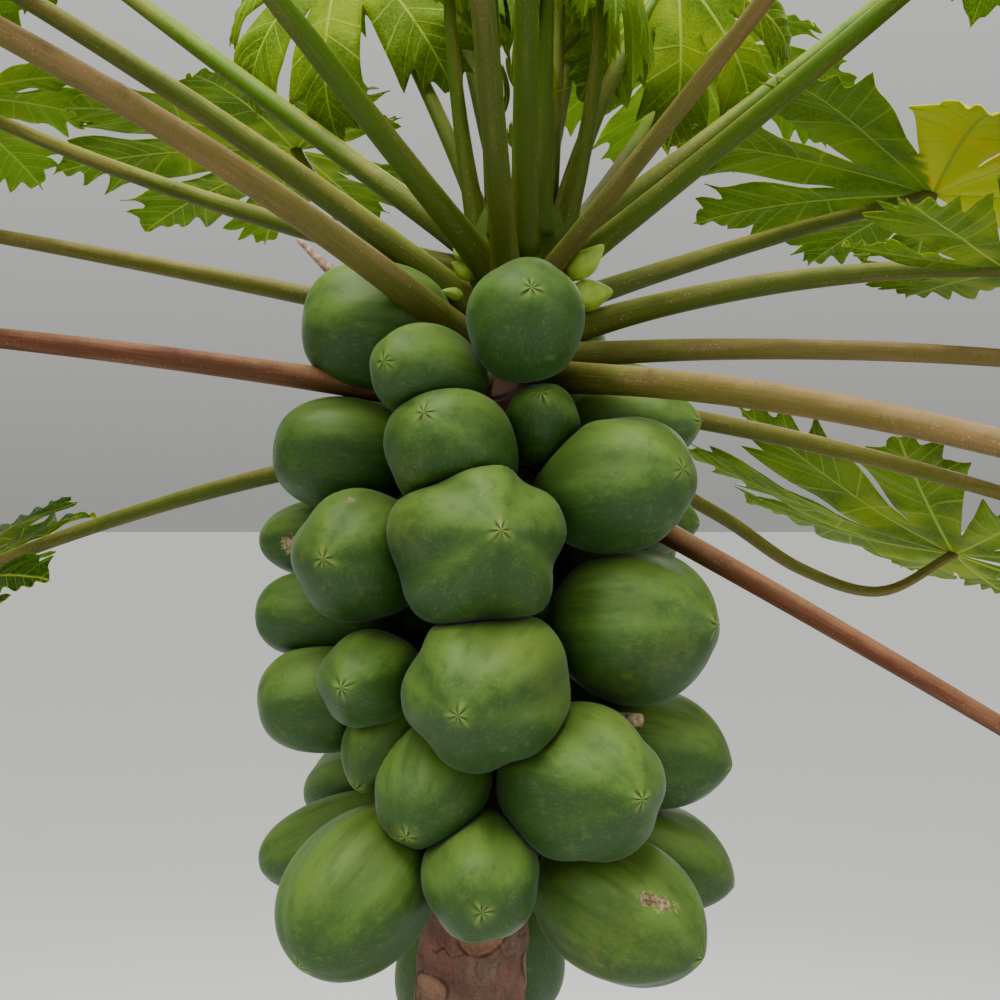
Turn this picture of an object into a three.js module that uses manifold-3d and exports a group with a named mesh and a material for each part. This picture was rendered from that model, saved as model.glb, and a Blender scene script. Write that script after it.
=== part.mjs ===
// A young papaya tree: one leaning stem, the fruit packed round its upper part, and a crown of
// lobed leaves on long stalks. Millimetres and degrees, +Z up. The origin is the centre of the
// flat cut under the stem. A turn is measured round the stem from the front, -Y, towards +X.
import * as THREE from "three";
import { mergeVertices } from "three/addons/utils/BufferGeometryUtils.js";
import Module from "manifold-3d";

const wasm = await Module();
wasm.setup();

const SEAT_GAP = 0.3;
const MERGE_WITHIN = 1e-3;

const STEM = {
  height: 1880,
  shoulder: 1842,
  waist: 1160,
  footRadius: 78,
  waistRadius: 50,
  crownRadius: 45,
  lean: 0.066,
  flare: 34,
  flareHeight: 95,
  buttresses: 5,
  buttressDepth: 0.1,
  sides: 15,
  rings: [0, 35, 90, 180, 350, 640, 940, 1240, 1540, 1842, 1862, 1875],
};

const FRUIT = {
  sides: 10,
  // Share of the length from the stem end, and share of the greatest radius there.
  profile: [
    [0, 0],
    [0.1, 0.54],
    [0.34, 0.93],
    [0.62, 0.97],
    [0.87, 0.6],
    [1, 0],
  ],
  lobes: 5,
  lobeDepth: 0.05,
  stalkRadius: 8,
  stalkRise: 14,
  stalkStart: 0.42,
  pressSlack: 1.02,
};

const LEAF = {
  sides: 6,
  steps: 5,
  stalkInset: 0.9,
  rootLength: 18,
  taper: 0.35,
  hookSteps: 2,
  plateShare: 0.021,
  // Angle of each lobe from the middle one, and its reach as a share of the span.
  lobes: [
    [-148, 0.52],
    [-112, 0.7],
    [-75, 0.86],
    [-38, 0.96],
    [0, 1],
    [38, 0.96],
    [75, 0.86],
    [112, 0.7],
    [148, 0.52],
  ],
  sinusReach: 0.27,
  sideLobe: [0.62, 0.165],
  backReach: 0.05,
  drawInShare: 0.67,
  ripple: 0.035,
  ripples: 9.5,
};

// The unopened leaves at the tip: slim spindles, each shorter than the last, on one small cushion.
const YOUNG = {
  count: 5,
  length: 232,
  shorter: 12,
  nextTurn: 137.5,
  rise: 84,
  lower: 2,
  endRadius: 3,
  bulge: 9,
  sides: 5,
  steps: 4,
  spread: 6,
  cushionRadius: 13,
  cushionHeight: 16,
};

// Turn, height of the middle, distance out, girth, length, dip (+ is up), swing, and group.
const FRUITS = [
  [4, 1750, 125, 101, 120, 20, 0],
  [-80, 1756, 126, 120, 135, 5, 0],
  [-33, 1707, 128, 85, 125, 6, 0],
  [-21, 1640, 128, 112, 130, 28, 0],
  [18, 1664, 95, 68, 90, 32, -20],
  [68, 1666, 116, 82, 124, 2, 0],
  [-75, 1640, 150, 104, 125, 5, 0],
  [42, 1613, 140, 118, 155, 9, 0],
  [-8, 1562, 140, 150, 160, 10, 22],
  [-52, 1552, 150, 116, 135, 0, 30],
  [56, 1491, 145, 136, 152, 3, 0],
  [-75, 1424, 148, 102, 128, -8, 0],
  [-1, 1444, 140, 140, 160, -9, -15],
  [80, 1375, 150, 110, 140, -10, 0],
  [34, 1360, 144, 136, 160, 0, 0],
  [-22, 1362, 115, 100, 130, -35, 0],
  [-46, 1264, 140, 128, 162, -38, 0],
  [1, 1286, 125, 102, 128, -16, 0],
  [56, 1245, 149, 124, 165, -20, 0],
  [88, 1275, 158, 98, 150, -20, 0],
  [95, 1583, 125, 72, 110, -5, 0, "a"],
  [128, 1560, 135, 114, 145, -4, 0, "a"],
  [-95, 1563, 160, 76, 125, 0, 0, "b"],
  [-85, 1493, 150, 88, 135, 5, 0, "b"],
  [-100, 1284, 138, 80, 150, -22, 0, "c"],
  [-128, 1320, 140, 106, 150, -14, 0, "c"],
  [-126, 1222, 136, 106, 150, -26, 0, "c"],
  [152, 1165, 92, 88, 150, -62, 0, "d"],
  [-158, 1150, 88, 84, 150, -66, 0, "d"],
  [178, 1250, 128, 122, 155, -32, 0, "d"],
  [162, 1738, 122, 122, 128, 12, 0, "e"],
  [-152, 1730, 124, 124, 130, 8, 0, "e"],
  [120, 1678, 128, 108, 125, 6, 0, "f"],
  [166, 1646, 138, 122, 145, 4, 0, "f"],
  [-118, 1650, 138, 104, 130, 4, 0, "g"],
  [-150, 1586, 140, 124, 150, 0, 0, "g"],
  [172, 1510, 140, 126, 155, -2, 0, "g"],
  [124, 1448, 145, 126, 150, -8, 0, "h"],
  [133, 1340, 145, 130, 155, -16, 0, "h"],
  [126, 1236, 140, 124, 155, -26, 0, "h"],
  [-130, 1452, 145, 124, 155, -6, 0, "i"],
  [-168, 1392, 140, 120, 150, -14, 0, "i"],
  [-45, 1447, 145, 85, 125, 0, 28, "j"],
  [-48, 1396, 108, 84, 115, -45, 0, "j"],
];

// Turn and height of the foot, heading, rise at the foot and at the blade, length, thickness,
// reach of the blade, its nod below level, roll, turn from the stalk's heading and droop, and the
// last hook upwards of the stalk.
const LEAVES = [
  [75, 1630, 72, -28, -31, 640, 23, 265, 50, 0, 0, 0.42, 0],
  [-95, 1657, -94, -8, -23, 510, 20, 290, 22, -20, 0, 0.12, 0],
  [115, 1664, 117, -18, -40, 533, 17, 300, -14, 16, 138, -0.09, 78],
  [-75, 1689, -78, 9, 3, 640, 25, 280, 45, 0, 0, 0.42, 0],
  [95, 1696, 88, -8, -21, 620, 20, 272, 42, 0, 0, 0.42, 0],
  [40, 1712, 42, -4, -20, 760, 28, 300, 45, 0, 0, 0.42, 0],
  [70, 1732, 82, 3, -11, 680, 22, 290, 40, 0, 0, 0.42, 0],
  [-50, 1738, -50, 30, 14, 700, 29, 300, 40, 0, 0, 0.42, 0],
  [75, 1752, 74, 16, -3, 395, 25, 310, 0, -2, 0, -0.10, 0],
  [-98, 1757, -98, 13, 10, 640, 21, 290, 35, 0, 0, 0.42, 0],
  [-75, 1778, -80, 37, 28, 577, 27, 310, 20, 0, 0, 0.45, 0],
  [110, 1780, 112, 20, 15, 441, 22, 320, -18, 0, -156, 0.15, 0],
  [55, 1800, 60, 32, 36, 630, 22, 295, 30, 0, 0, 0.42, 0],
  [35, 1800, 44, 38, 41, 740, 18, 290, 25, 0, 0, 0.42, 0],
  [-14, 1800, -6, 45, 46, 700, 24, 300, 30, 0, 0, 0.42, 0],
  [-125, 1812, -112, 14, 25, 667, 23, 300, 24, 0, 0, 0.25, 0],
  [-45, 1812, -50, 41, 43, 650, 25, 280, 22, -10, 0, 0.42, 0],
  [-150, 1815, -151, 5, 40, 550, 22, 325, 0, 14, 60, 0.15, 0],
  [150, 1815, 158, 28, 38, 640, 22, 290, 15, 0, 0, 0.3, 0],
  [-110, 1830, -108, 36, 38, 710, 24, 295, 25, 0, 0, 0.42, 0],
  [100, 1835, 100, 36, 42, 620, 22, 290, 20, 0, 0, 0.42, 0],
  [5, 1840, 0, 64, 66, 560, 24, 270, 20, 0, 0, 0.42, 0],
  [-170, 1850, -160, 57, 62, 490, 21, 244, 60, 0, 150, 0.5, 0],
  [-130, 1850, -116, 67, 59, 329, 18, 250, 55, 0, 96, 0.5, 0],
  [165, 1850, 150, 66, 73, 402, 22, 280, 60, 0, -128, 0.5, 0],
  [120, 1850, 120, 74, 52, 299, 20, 215, 65, 0, -110, 0.5, 0],
  [-175, 1714, 180, 2, -8, 660, 24, 270, 22, 0, 0, 0.42, 0],
  [172, 1668, 184, -18, -28, 600, 22, 260, 45, 0, 0, 0.42, 0],
];

const COLOURS = {
  bark: 0x8a7866,
  fruit: 0x4d7a2f,
  leaf: 0x5c8f24,
};

const finish = (color, roughness) =>
  new THREE.MeshStandardMaterial({ color, roughness, metalness: 0 });
const barkFinish = finish(COLOURS.bark, 0.85);
const fruitFinish = finish(COLOURS.fruit, 0.45);
const leafFinish = finish(COLOURS.leaf, 0.55);

const rad = THREE.MathUtils.degToRad;
const lerp = THREE.MathUtils.lerp;
const AXES = [new THREE.Vector3(1, 0, 0), new THREE.Vector3(0, 1, 0), new THREE.Vector3(0, 0, 1)];

function heading(turn, rise) {
  const t = rad(turn);
  const e = rad(rise);
  return new THREE.Vector3(Math.sin(t) * Math.cos(e), -Math.cos(t) * Math.cos(e), Math.sin(e));
}

// A closed three.js geometry as a solid that can be joined and cut.
function solidOf(geometry) {
  const bare = geometry.clone();
  bare.deleteAttribute("normal");
  bare.deleteAttribute("uv");
  const merged = mergeVertices(bare, MERGE_WITHIN);
  return new wasm.Manifold(
    new wasm.Mesh({
      numProp: 3,
      vertProperties: merged.attributes.position.array,
      triVerts: new Uint32Array(merged.index.array),
    }),
  );
}

// A named mesh of a solid, with its geometry about its own middle.
function pieceOf(name, solid, material, middle) {
  const { vertProperties, triVerts } = solid.getMesh();
  const geometry = new THREE.BufferGeometry();
  geometry.setAttribute("position", new THREE.BufferAttribute(vertProperties, 3));
  geometry.setIndex(new THREE.BufferAttribute(triVerts, 1));
  geometry.translate(-middle.x, -middle.y, -middle.z);
  geometry.computeVertexNormals();
  const mesh = new THREE.Mesh(geometry, material);
  mesh.name = name;
  mesh.position.copy(middle);
  return mesh;
}

// Moves every vertex of a geometry through a function of a vector.
function reshape(geometry, move) {
  const position = geometry.attributes.position;
  const p = new THREE.Vector3();
  for (let i = 0; i < position.count; i++) {
    move(p.fromBufferAttribute(position, i));
    position.setXYZ(i, p.x, p.y, p.z);
  }
  return geometry;
}

const stemMiddle = (z) => new THREE.Vector3(STEM.lean * z, 0, z);

function stemRadius(z) {
  const flare = STEM.flare * Math.exp(-z / STEM.flareHeight);
  if (z <= STEM.waist) return lerp(STEM.footRadius, STEM.waistRadius, z / STEM.waist) + flare;
  const share = (z - STEM.waist) / (STEM.shoulder - STEM.waist);
  if (z <= STEM.shoulder) return lerp(STEM.waistRadius, STEM.crownRadius, share);
  const dome = (z - STEM.shoulder) / (STEM.height - STEM.shoulder);
  return STEM.crownRadius * Math.sqrt(Math.max(0, 1 - dome * dome));
}

// The stem, with its skin moved out by the given amount so that others can be cut clear of it.
function stemSolid(grow) {
  const top = STEM.height + grow;
  const outline = STEM.rings.map((z) => new THREE.Vector2(stemRadius(z) + grow, z));
  const profile = [new THREE.Vector2(0, 0), ...outline, new THREE.Vector2(0, top)];
  const geometry = new THREE.LatheGeometry(profile, STEM.sides).rotateX(Math.PI / 2);
  return solidOf(
    reshape(geometry, (p) => {
      const spread = Math.exp(-p.z / STEM.flareHeight) * STEM.buttressDepth;
      const swell = 1 + spread * Math.cos(STEM.buttresses * Math.atan2(p.y, p.x));
      p.x = p.x * swell + STEM.lean * p.z;
      p.y *= swell;
    }),
  );
}

// A round bar along a path of points in one upright plane, radius by share of the path.
function barAlong(path, radiusAt, sides, steps) {
  const side = new THREE.Vector3();
  const curve = new THREE.CatmullRomCurve3(path);
  side.subVectors(path[path.length - 1], path[0]).cross(new THREE.Vector3(0, 0, 1)).normalize();
  const bar = new THREE.CylinderGeometry(1, 1, 1, sides, steps);
  return reshape(bar, (p) => {
    const share = p.y + 0.5;
    const lift = new THREE.Vector3().crossVectors(side, curve.getTangentAt(share));
    const radius = radiusAt(share);
    const middle = curve.getPointAt(share);
    p.set(
      middle.x + radius * (p.x * side.x + p.z * lift.x),
      middle.y + radius * (p.x * side.y + p.z * lift.y),
      middle.z + radius * (p.x * side.z + p.z * lift.z),
    );
  });
}

function fruitPlan([turn, height, out, girth, length, dip, swing, group]) {
  const middle = stemMiddle(height).addScaledVector(heading(turn, 0), out);
  return { middle, axis: heading(turn + swing, dip), turn, girth, length, group };
}

// How far a fruit reaches from its middle in a direction.
function reachOf(fruit, direction) {
  const along = fruit.axis.dot(direction);
  const across = Math.sqrt(Math.max(0, 1 - along * along));
  const reach = Math.hypot((along * fruit.length) / 2, (across * fruit.girth) / 2);
  return reach * FRUIT.pressSlack;
}

// The plane that two pressed fruits share: the direction in which they overlap least.
function contactOf(a, b) {
  const between = new THREE.Vector3().subVectors(b.middle, a.middle);
  const overlap = (n) => reachOf(a, n) + reachOf(b, n) - between.dot(n);
  let best = between.clone().normalize();
  for (let step = 0.4; step > 0.004; step *= 0.6) {
    for (const axis of AXES) {
      for (const sign of [-1, 1]) {
        const tried = best.clone().addScaledVector(axis, sign * step).normalize();
        if (overlap(tried) < overlap(best)) best = tried;
      }
    }
  }
  const depth = overlap(best);
  if (depth <= 0) return null;
  const offset = a.middle.dot(best) + reachOf(a, best) - depth / 2;
  return { normal: best, offset };
}

function fruitSolid(fruit) {
  const radius = fruit.girth / 2;
  const profile = FRUIT.profile.map(
    ([share, width]) => new THREE.Vector2(width * radius, (share - 0.5) * fruit.length),
  );
  const turnUp = new THREE.Quaternion().setFromUnitVectors(new THREE.Vector3(0, 1, 0), fruit.axis);
  const body = reshape(new THREE.LatheGeometry(profile, FRUIT.sides), (p) => {
    const lobe = Math.cos(FRUIT.lobes * Math.atan2(p.z, p.x));
    const pinch = 1 - (FRUIT.lobeDepth * (1 - lobe)) / 2;
    p.x *= pinch;
    p.z *= pinch;
    p.applyQuaternion(turnUp).add(fruit.middle);
  });
  return solidOf(body).add(fruitStalk(fruit));
}

// The short stalk from the stem to the back end of a fruit.
function fruitStalk(fruit) {
  const end = fruit.middle.clone().addScaledVector(fruit.axis, -FRUIT.stalkStart * fruit.length);
  const foot = stemMiddle(end.z + FRUIT.stalkRise);
  const path = [foot, end.clone().lerp(foot, 0.5), end];
  return solidOf(barAlong(path, () => FRUIT.stalkRadius, LEAF.sides, 1));
}

function leafPlan([turn, height, head, rise0, rise1, length, thickness, span, ...lie]) {
  const [nod, roll, swing, droop, hook] = lie;
  const inset = stemRadius(height) * LEAF.stalkInset;
  const foot = stemMiddle(height).addScaledVector(heading(turn, 0), inset);
  const path = [foot.clone().addScaledVector(heading(head, rise0), -LEAF.rootLength), foot.clone()];
  for (let i = 0; i < LEAF.steps; i++) {
    const share = (i + 0.5) / LEAF.steps;
    const bend = hook * Math.max(0, 1 - ((1 - share) * LEAF.steps) / LEAF.hookSteps);
    foot.addScaledVector(heading(head, lerp(rise0, rise1, share) + bend), length / LEAF.steps);
    path.push(foot.clone());
  }
  return { path, tip: foot, face: head + swing, thickness, span, nod, roll, droop };
}

function leafStalk(leaf, grow) {
  const radiusAt = (share) => grow + (leaf.thickness / 2) * (1 - LEAF.taper * share);
  return solidOf(barAlong(leaf.path, radiusAt, LEAF.sides, LEAF.steps));
}

// The flat outline of a blade: lobes that spread from the head of the stalk, +Y the middle one.
function bladeOutline(span) {
  const at = (angle, reach) => {
    const a = rad(angle);
    return new THREE.Vector2(Math.sin(a) * reach, Math.cos(a) * reach);
  };
  const points = [];
  LEAF.lobes.forEach(([angle, share], i) => {
    const reach = share * span;
    const place = ([along, across], sign) => {
      const radius = Math.hypot(along, across) * reach;
      return at(angle + (sign * Math.atan2(across, along) * 180) / Math.PI, radius);
    };
    points.push(place(LEAF.sideLobe, -1), at(angle, reach), place(LEAF.sideLobe, 1));
    if (i + 1 < LEAF.lobes.length) {
      const [nextAngle, nextShare] = LEAF.lobes[i + 1];
      points.push(at((angle + nextAngle) / 2, (LEAF.sinusReach * span * (share + nextShare)) / 2));
    }
  });
  points.push(at(180, LEAF.backReach * span));
  return points;
}

function leafBlade(leaf) {
  const depth = LEAF.plateShare * leaf.span;
  const shape = new THREE.Shape(bladeOutline(leaf.span));
  const plate = new THREE.ExtrudeGeometry(shape, { depth, bevelEnabled: false, steps: 1 });
  const turned = new THREE.Matrix4().makeBasis(
    heading(leaf.face - 90, 0),
    heading(leaf.face, -leaf.nod),
    heading(leaf.face, 90 - leaf.nod),
  );
  return reshape(plate, (p) => {
    const reach = Math.hypot(p.x, p.y) / leaf.span;
    const angle = Math.atan2(p.x, p.y);
    const ripple = LEAF.ripple * Math.cos(LEAF.ripples * angle) * reach;
    const sag = leaf.droop * reach * reach;
    const drawIn = 1 - LEAF.drawInShare * sag;
    p.x *= drawIn;
    p.y *= drawIn;
    p.z += leaf.span * (ripple - sag) - depth / 2;
    p.applyAxisAngle(new THREE.Vector3(0, 1, 0), rad(leaf.roll));
    p.applyMatrix4(turned).add(leaf.tip);
  });
}

function youngLeaves() {
  const base = stemMiddle(STEM.height + SEAT_GAP);
  const { cushionRadius, cushionHeight, sides, steps, bulge, endRadius } = YOUNG;
  const cushion = new THREE.CylinderGeometry(cushionRadius, cushionRadius, cushionHeight, LEAF.sides);
  cushion.rotateX(Math.PI / 2).translate(base.x, base.y, base.z + cushionHeight / 2);
  const radiusAt = (share) => endRadius + bulge * Math.sin(Math.PI * share) ** 2;
  let bunch = solidOf(cushion);
  for (let i = 0; i < YOUNG.count; i++) {
    const out = heading(i * YOUNG.nextTurn, YOUNG.rise - YOUNG.lower * i);
    const reach = YOUNG.length - YOUNG.shorter * i;
    const path = [0, 0.5, 1].map((share) => {
      return base.clone().addScaledVector(out, YOUNG.spread + share * reach);
    });
    bunch = bunch.add(solidOf(barAlong(path, radiusAt, sides, steps)));
  }
  return bunch;
}

// The largest of the bodies that a cut leaves.
function mainBody(solid) {
  return solid.decompose().reduce((a, b) => (b.volume() > a.volume() ? b : a));
}

const tree = new THREE.Group();
tree.add(pieceOf("stem", stemSolid(0), barkFinish, new THREE.Vector3()));
const stemClear = stemSolid(SEAT_GAP);

const leafGroup = new THREE.Group();
const stalksClear = [];
LEAVES.forEach((row, i) => {
  const leaf = leafPlan(row);
  let stalk = leafStalk(leaf, 0).subtract(stemClear);
  for (const other of stalksClear) stalk = stalk.subtract(other);
  const solid = mainBody(mainBody(stalk).add(solidOf(leafBlade(leaf))));
  stalksClear.push(leafStalk(leaf, SEAT_GAP));
  leafGroup.add(pieceOf("leaf_" + String(i + 1).padStart(2, "0"), solid, leafFinish, leaf.tip));
});
const tip = youngLeaves();
leafGroup.add(pieceOf("young_leaves", tip, leafFinish, stemMiddle(STEM.height)));
tree.add(leafGroup);

const fruitGroup = new THREE.Group();
const fruits = FRUITS.map(fruitPlan);
const bunches = new Map();
fruits.forEach((fruit, i) => {
  let solid = fruitSolid(fruit).subtract(stemClear);
  for (const other of fruits) {
    if (other === fruit || (fruit.group && other.group === fruit.group)) continue;
    const contact = contactOf(fruit, other);
    if (!contact) continue;
    const { x, y, z } = contact.normal;
    solid = solid.trimByPlane([-x, -y, -z], SEAT_GAP / 2 - contact.offset);
  }
  for (const stalk of stalksClear) solid = solid.subtract(stalk);
  const key = fruit.group ? "fruit_bunch_" + fruit.group : "fruit_" + String(i + 1).padStart(2, "0");
  const bunch = bunches.get(key) ?? { solid: null, middle: fruit.middle };
  bunch.solid = bunch.solid ? bunch.solid.add(mainBody(solid)) : mainBody(solid);
  bunches.set(key, bunch);
});
for (const [name, { solid, middle }] of bunches) {
  fruitGroup.add(pieceOf(name, solid, fruitFinish, middle));
}
tree.add(fruitGroup);

export default tree;
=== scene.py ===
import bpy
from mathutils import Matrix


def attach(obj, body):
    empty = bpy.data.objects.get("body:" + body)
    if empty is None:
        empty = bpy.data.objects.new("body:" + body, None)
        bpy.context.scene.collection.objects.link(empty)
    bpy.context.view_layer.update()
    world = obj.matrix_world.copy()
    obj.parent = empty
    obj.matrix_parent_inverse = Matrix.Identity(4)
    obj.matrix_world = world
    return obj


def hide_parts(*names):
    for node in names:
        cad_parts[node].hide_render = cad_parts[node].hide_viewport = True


bl_info = {
    "name": "Papaya Tree",
    "version": (1, 0, 0),
    "blender": (4, 5, 0),
    "location": "View3D > Sidebar > Papaya",
    "description": "Bark, fruit, leaves and a studio for a young papaya tree",
    "category": "Add Mesh",
}

import math
import random

import bmesh
import bpy
import numpy as np
from bpy.props import FloatProperty, FloatVectorProperty, IntProperty, PointerProperty
from mathutils import Matrix, Vector

# The plant in metres and degrees, +Z up, from the centre of the flat cut under the stem. A turn
# is measured round the stem from the front, -Y, towards +X, and a rise from level.
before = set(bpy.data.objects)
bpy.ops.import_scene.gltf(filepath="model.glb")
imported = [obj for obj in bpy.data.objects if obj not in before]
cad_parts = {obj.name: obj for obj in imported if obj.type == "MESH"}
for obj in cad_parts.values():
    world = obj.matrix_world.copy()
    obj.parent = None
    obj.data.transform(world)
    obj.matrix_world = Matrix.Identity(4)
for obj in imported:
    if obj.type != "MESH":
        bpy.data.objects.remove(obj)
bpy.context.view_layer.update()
MM = 0.001
SEED = 31

STEM_NODE = "stem"
YOUNG_NODE = "young_leaves"
STEM_HEIGHT = 1.880
STEM_SHOULDER = 1.842
STEM_WAIST = 1.160
FOOT_RADIUS = 0.078
WAIST_RADIUS = 0.050
CROWN_RADIUS = 0.045
STEM_LEAN = 0.066
FLARE = 0.034
FLARE_HEIGHT = 0.095
BUTTRESSES = 5
BUTTRESS_DEPTH = 0.1
FIRST_SCAR = 0.14
LAST_SCAR = STEM_SHOULDER - 0.01
GOLDEN_TURN = 137.5
SCAR_WANDER = 6
FAR_FROM_SCAR = 3.0
SEAT_GAP = 0.0003
MERGE = 0.00003
SKIN_OFF_STEM = 0.001
PATH_SAMPLES = 24

FRUIT_LOBES = 5
# How far a fruit's lobes stand out and the valleys between them lie back, as shares of its lobe
# depth, and the power that gathers its rings of faces towards the star at its tip.
CREST = 0.25
VALLEY = 1.3
RING_GATHER = 1.35
STAR_RAYS = 7
# How far the star's rays wander and differ in reach, and how both depend on a fruit's own tone.
STAR_WANDER = 0.3
STAR_UNEVEN = 0.35
WANDER_PHASE = 19.0
UNEVEN_PHASE = 31.0
PRESS_SLACK = 1.02
PRESS_SOFTNESS = 0.0022
FRUIT_STALK_RADIUS = 0.0085
FRUIT_STALK_RISE = 0.014
FRUIT_STALK_START = 0.42
STALK_SKIN = (0.0, 0.03, -0.06)

# Millimetres and degrees: turn, height of the middle, distance out, girth, length, dip (+ is up),
# swing, group, and depth of the lobes as a share of the girth.
FRUITS = [
    (4, 1750, 125, 101, 120, 20, 0, "", 0.04), (-80, 1756, 126, 120, 135, 5, 0, "", 0.05),
    (-33, 1707, 128, 85, 125, 6, 0, "", 0.04), (-21, 1640, 128, 112, 130, 28, 0, "", 0.05),
    (18, 1664, 95, 68, 90, 32, -20, "", 0.04), (68, 1666, 116, 82, 124, 2, 0, "", 0.05),
    (-75, 1640, 150, 104, 125, 5, 0, "", 0.05), (42, 1613, 140, 118, 155, 9, 0, "", 0.06),
    (-8, 1562, 140, 150, 160, 10, 22, "", 0.13), (-52, 1552, 150, 116, 135, 0, 30, "", 0.06),
    (56, 1491, 145, 136, 152, 3, 0, "", 0.06), (-75, 1424, 148, 102, 128, -8, 0, "", 0.05),
    (-1, 1444, 140, 140, 160, -9, -15, "", 0.09), (80, 1375, 150, 110, 140, -10, 0, "", 0.05),
    (34, 1360, 144, 136, 160, 0, 0, "", 0.08), (-22, 1362, 115, 100, 130, -35, 0, "", 0.05),
    (-46, 1264, 140, 128, 162, -38, 0, "", 0.06), (1, 1286, 125, 102, 128, -16, 0, "", 0.05),
    (56, 1245, 149, 124, 165, -20, 0, "", 0.06), (88, 1275, 158, 98, 150, -20, 0, "", 0.05),
    (95, 1583, 125, 72, 110, -5, 0, "a", 0.05), (128, 1560, 135, 114, 145, -4, 0, "a", 0.06),
    (-95, 1563, 160, 76, 125, 0, 0, "b", 0.05), (-85, 1493, 150, 88, 135, 5, 0, "b", 0.05),
    (-100, 1284, 138, 80, 150, -22, 0, "c", 0.05), (-128, 1320, 140, 106, 150, -14, 0, "c", 0.06),
    (-126, 1222, 136, 106, 150, -26, 0, "c", 0.06), (152, 1165, 92, 88, 150, -62, 0, "d", 0.05),
    (-158, 1150, 88, 84, 150, -66, 0, "d", 0.05), (178, 1250, 128, 122, 155, -32, 0, "d", 0.07),
    (162, 1738, 122, 122, 128, 12, 0, "e", 0.05), (-152, 1730, 124, 124, 130, 8, 0, "e", 0.06),
    (120, 1678, 128, 108, 125, 6, 0, "f", 0.05), (166, 1646, 138, 122, 145, 4, 0, "f", 0.06),
    (-118, 1650, 138, 104, 130, 4, 0, "g", 0.05), (-150, 1586, 140, 124, 150, 0, 0, "g", 0.07),
    (172, 1510, 140, 126, 155, -2, 0, "g", 0.06), (124, 1448, 145, 126, 150, -8, 0, "h", 0.07),
    (133, 1340, 145, 130, 155, -16, 0, "h", 0.06), (126, 1236, 140, 124, 155, -26, 0, "h", 0.06),
    (-130, 1452, 145, 124, 155, -6, 0, "i", 0.07), (-168, 1392, 140, 120, 150, -14, 0, "i", 0.06),
    (-45, 1447, 145, 85, 125, 0, 28, "j", 0.05), (-48, 1396, 108, 84, 115, -45, 0, "j", 0.05),
]

# Millimetres and degrees: turn and height of the foot, heading, rise at the foot and at the blade,
# length, thickness, reach of the blade, its nod, roll, turn from the stalk's heading and droop,
# last hook upwards of the stalk, and its finish.
LEAVES = [
    (75, 1630, 72, -28, -31, 640, 23, 265, 50, 0, 0, 0.42, 0, "red"),
    (-95, 1657, -94, -8, -23, 510, 20, 290, 22, -20, 0, 0.12, 0, "olive"),
    (115, 1664, 117, -18, -40, 533, 17, 300, -14, 16, 138, -0.09, 78, "tan"),
    (-75, 1689, -78, 9, 3, 640, 25, 280, 45, 0, 0, 0.42, 0, "red"),
    (95, 1696, 88, -8, -21, 620, 20, 272, 42, 0, 0, 0.42, 0, "tan"),
    (40, 1712, 42, -4, -20, 760, 28, 300, 45, 0, 0, 0.42, 0, "brown"),
    (70, 1732, 82, 3, -11, 680, 22, 290, 40, 0, 0, 0.42, 0, "brown"),
    (-50, 1738, -50, 30, 14, 700, 29, 300, 40, 0, 0, 0.42, 0, "brown"),
    (75, 1752, 74, 16, -3, 395, 25, 310, 0, -2, 0, -0.10, 0, "olive"),
    (-98, 1757, -98, 13, 10, 640, 21, 290, 35, 0, 0, 0.42, 0, "tan"),
    (-75, 1778, -80, 37, 28, 577, 27, 310, 20, 0, 0, 0.45, 0, "olive"),
    (110, 1780, 112, 20, 15, 441, 22, 320, -18, 0, -156, 0.15, 0, "olive"),
    (55, 1800, 60, 32, 36, 630, 22, 295, 30, 0, 0, 0.42, 0, "green"),
    (35, 1800, 44, 38, 41, 740, 18, 290, 25, 0, 0, 0.42, 0, "brown"),
    (-14, 1800, -6, 45, 46, 700, 24, 300, 30, 0, 0, 0.42, 0, "olive"),
    (-125, 1812, -112, 14, 25, 667, 23, 300, 24, 0, 0, 0.25, 0, "olive"),
    (-45, 1812, -50, 41, 43, 650, 25, 280, 22, -10, 0, 0.42, 0, "green"),
    (-150, 1815, -151, 5, 40, 550, 22, 325, 0, 14, 60, 0.15, 0, "green"),
    (150, 1815, 158, 28, 38, 640, 22, 290, 15, 0, 0, 0.3, 0, "green"),
    (-110, 1830, -108, 36, 38, 710, 24, 295, 25, 0, 0, 0.42, 0, "green"),
    (100, 1835, 100, 36, 42, 620, 22, 290, 20, 0, 0, 0.42, 0, "green"),
    (5, 1840, 0, 64, 66, 560, 24, 270, 20, 0, 0, 0.42, 0, "green"),
    (-170, 1850, -160, 57, 62, 490, 21, 244, 60, 0, 150, 0.5, 0, "green"),
    (-130, 1850, -116, 67, 59, 329, 18, 250, 55, 0, 96, 0.5, 0, "green"),
    (165, 1850, 150, 66, 73, 402, 22, 280, 60, 0, -128, 0.5, 0, "green"),
    (120, 1850, 120, 74, 52, 299, 20, 215, 65, 0, -110, 0.5, 0, "green"),
    (-175, 1714, 180, 2, -8, 660, 24, 270, 22, 0, 0, 0.42, 0, "olive"),
    (172, 1668, 184, -18, -28, 600, 22, 260, 45, 0, 0, 0.42, 0, "tan"),
]
STALK_STEPS = 5
STALK_INSET = 0.9
STALK_ROOT = 0.018
STALK_TAPER = 0.45
STALK_SEGMENTS = 18
STALK_RINGS = 44
# How much a stalk swells at its foot and its head, and over what length.
FOOT_SWELL = (0.38, 0.035)
HEAD_SWELL = (0.18, 0.012)
HOOK_STEPS = 2
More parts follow.
